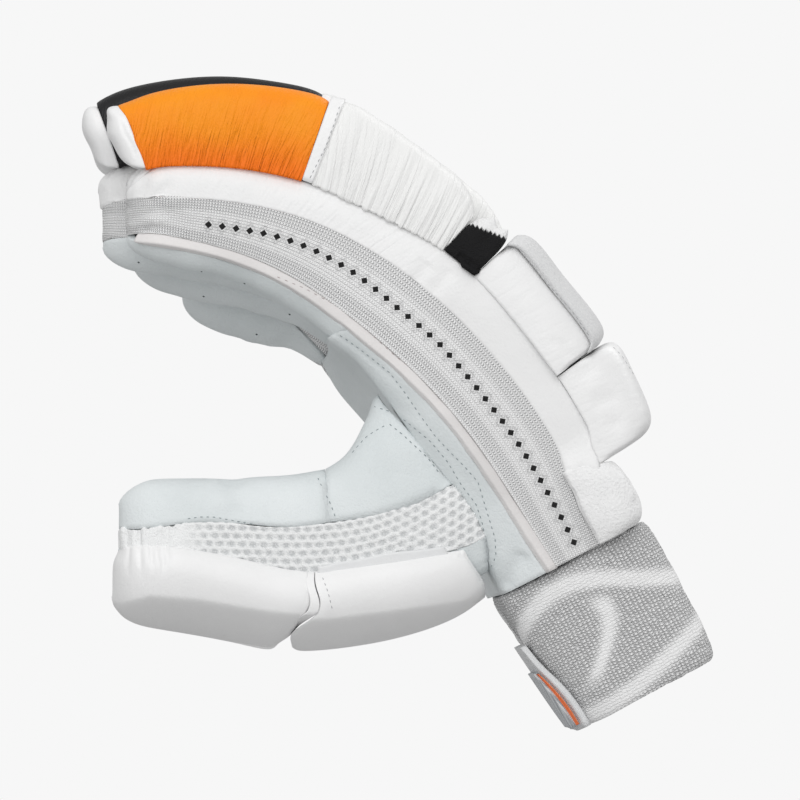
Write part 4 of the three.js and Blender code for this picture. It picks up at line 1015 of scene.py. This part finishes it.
# Wrist roll
# A soft stuffed roll of white brushed cloth round the back of the wrist.
roll_cloth, tree, shader = finish("roll_fabric", "f4f4f4", 0.9, sheen=0.3)
place = node(tree, "ShaderNodeTexCoord")
nap = node(tree, "ShaderNodeTexNoise", {"Scale": 1100.0, "Detail": 4.0})
tree.links.new(place.outputs["Object"], nap.inputs["Vector"])
tree.links.new(mixed_tint(tree, nap.outputs["Fac"], "f0f0f0", "ffffff"), shader.inputs["Base Color"])
put_bump(tree, shader, nap.outputs["Fac"], 0.0005)
piece = soft_copy("wrist_roll_cloth", "wrist_roll", 4, swell=0.3)
s, v, side = place_on(piece, hand_line)
press(piece, 0.4 * waves(27, s / 5, v / 9, side / 5))
complete(piece, roll_cloth, "roll_fabric", "wrist_roll")


# Cuff
# A thick knit tube of grey looped yarn, with soft white bands knitted in.
cuff_finish, tree, shader = finish("cuff_knit", "c9c9ca", 0.95, sheen=0.3)
run = node(tree, "ShaderNodeUVMap", uv_map="run")
place = node(tree, "ShaderNodeTexCoord")
bend = node(tree, "ShaderNodeTexNoise", {"Scale": 420.0, "Detail": 2.0})
tree.links.new(place.outputs["Object"], bend.inputs["Vector"])
split = node(tree, "ShaderNodeSeparateXYZ")
tree.links.new(run.outputs[0], split.inputs[0])
rows = node(tree, "ShaderNodeGroup", node_tree=knit)
rows.inputs["Loop"].default_value = 1.35
wander = math_node(tree, "MULTIPLY", math_node(tree, "SUBTRACT", bend.outputs["Fac"], 0.5), 1.3)
tree.links.new(math_node(tree, "ADD", split.outputs["X"], wander), rows.inputs["Along"])
row_height = 1.05
row = math_node(tree, "DIVIDE", split.outputs["Y"], row_height)
tree.links.new(math_node(tree, "ADD", row, wander), rows.inputs["Row"])
band = node(tree, "ShaderNodeAttribute", attribute_name="band")
plain = math_node(tree, "SUBTRACT", 1.0, math_node(tree, "MULTIPLY", band.outputs["Fac"], 0.75))
dark = math_node(tree, "MULTIPLY", plain, math_node(
    tree, "ADD", math_node(tree, "MULTIPLY", rows.outputs["Mark"], 0.5), 0.16))
tree.links.new(mixed_tint(tree, dark, "fbfbfb", "aaabad"), shader.inputs["Base Color"])
put_bump(tree, shader, math_node(tree, "MULTIPLY", rows.outputs["Height"], plain), 0.00045)
piece = soft_copy("cuff_tube", "cuff", 4, swell=0.1)
at = points_of(piece)
s, v, side = place_on(piece, hand_line)
turn = np.arctan2(side - side.mean(), v - v.mean())
cuff_radius = 36
round_cuff = turn * cuff_radius
first_band = s + 16 - 7 * np.sin(turn * 3 + 0.6)
second_band = s + 44 - 6 * np.sin(turn * 2 + 2.4)
link_band = (turn * 3 + 2.1) % (2 * math.pi) - math.pi
link_off = link_band * 10 - 7 * np.sin((s + 36) / 9)
between = smooth_step(-44, -38, s) * (1 - smooth_step(-20, -14, s))
white = np.maximum(1 - smooth_step(1.2, 5.4, np.abs(first_band)),
                   1 - smooth_step(1.0, 5.0, np.abs(second_band)))
white = np.maximum(white, between * (1 - smooth_step(0.6, 4.4, np.abs(link_off))))
mark(piece, "band", white)
uv_from(piece, round_cuff, s)
nubs = value_noise(at / mm / (1.3, 1.3, 1.3), 33)
press(piece, 0.35 * white + 0.22 * nubs * (1 - white) + 0.5 * value_noise(at / mm / (16, 16, 16), 34))
complete(piece, cuff_finish, "cuff_knit", "cuff")


# Strap tab and badge
# The end of the wrist strap lies on the palm side of the cuff, with a striped badge edged in orange.
strap_finish = leather("strap_fabric", "dcddde", "e8e9ea", 0.85, 2200, 0.0002)
edging_finish = leather("orange_edging", "f2763c", "f98a55", 0.5, 1300, 0.00004)
badge_finish, tree, shader = finish("badge_print", "c9cccf", 0.5)
place = node(tree, "ShaderNodeTexCoord")
stripes = node(tree, "ShaderNodeTexWave", {"Scale": 230.0, "Distortion": 0.0},
               bands_direction="DIAGONAL")
tree.links.new(place.outputs["Object"], stripes.inputs["Vector"])
tree.links.new(mixed_tint(tree, stripes.outputs["Fac"], "a9adb1", "dcdfe1"), shader.inputs["Base Color"])
for part, skin, label in (
    ("strap_tab", strap_finish, "strap_fabric"), ("strap_badge", badge_finish, "badge_print"),
    ("badge_edging", edging_finish, "orange_edging"),
):
    piece = soft_copy(part + "_piece", part, 2, swell=-0.4 if part == "badge_edging" else 0.05)
    complete(piece, skin, label, part)
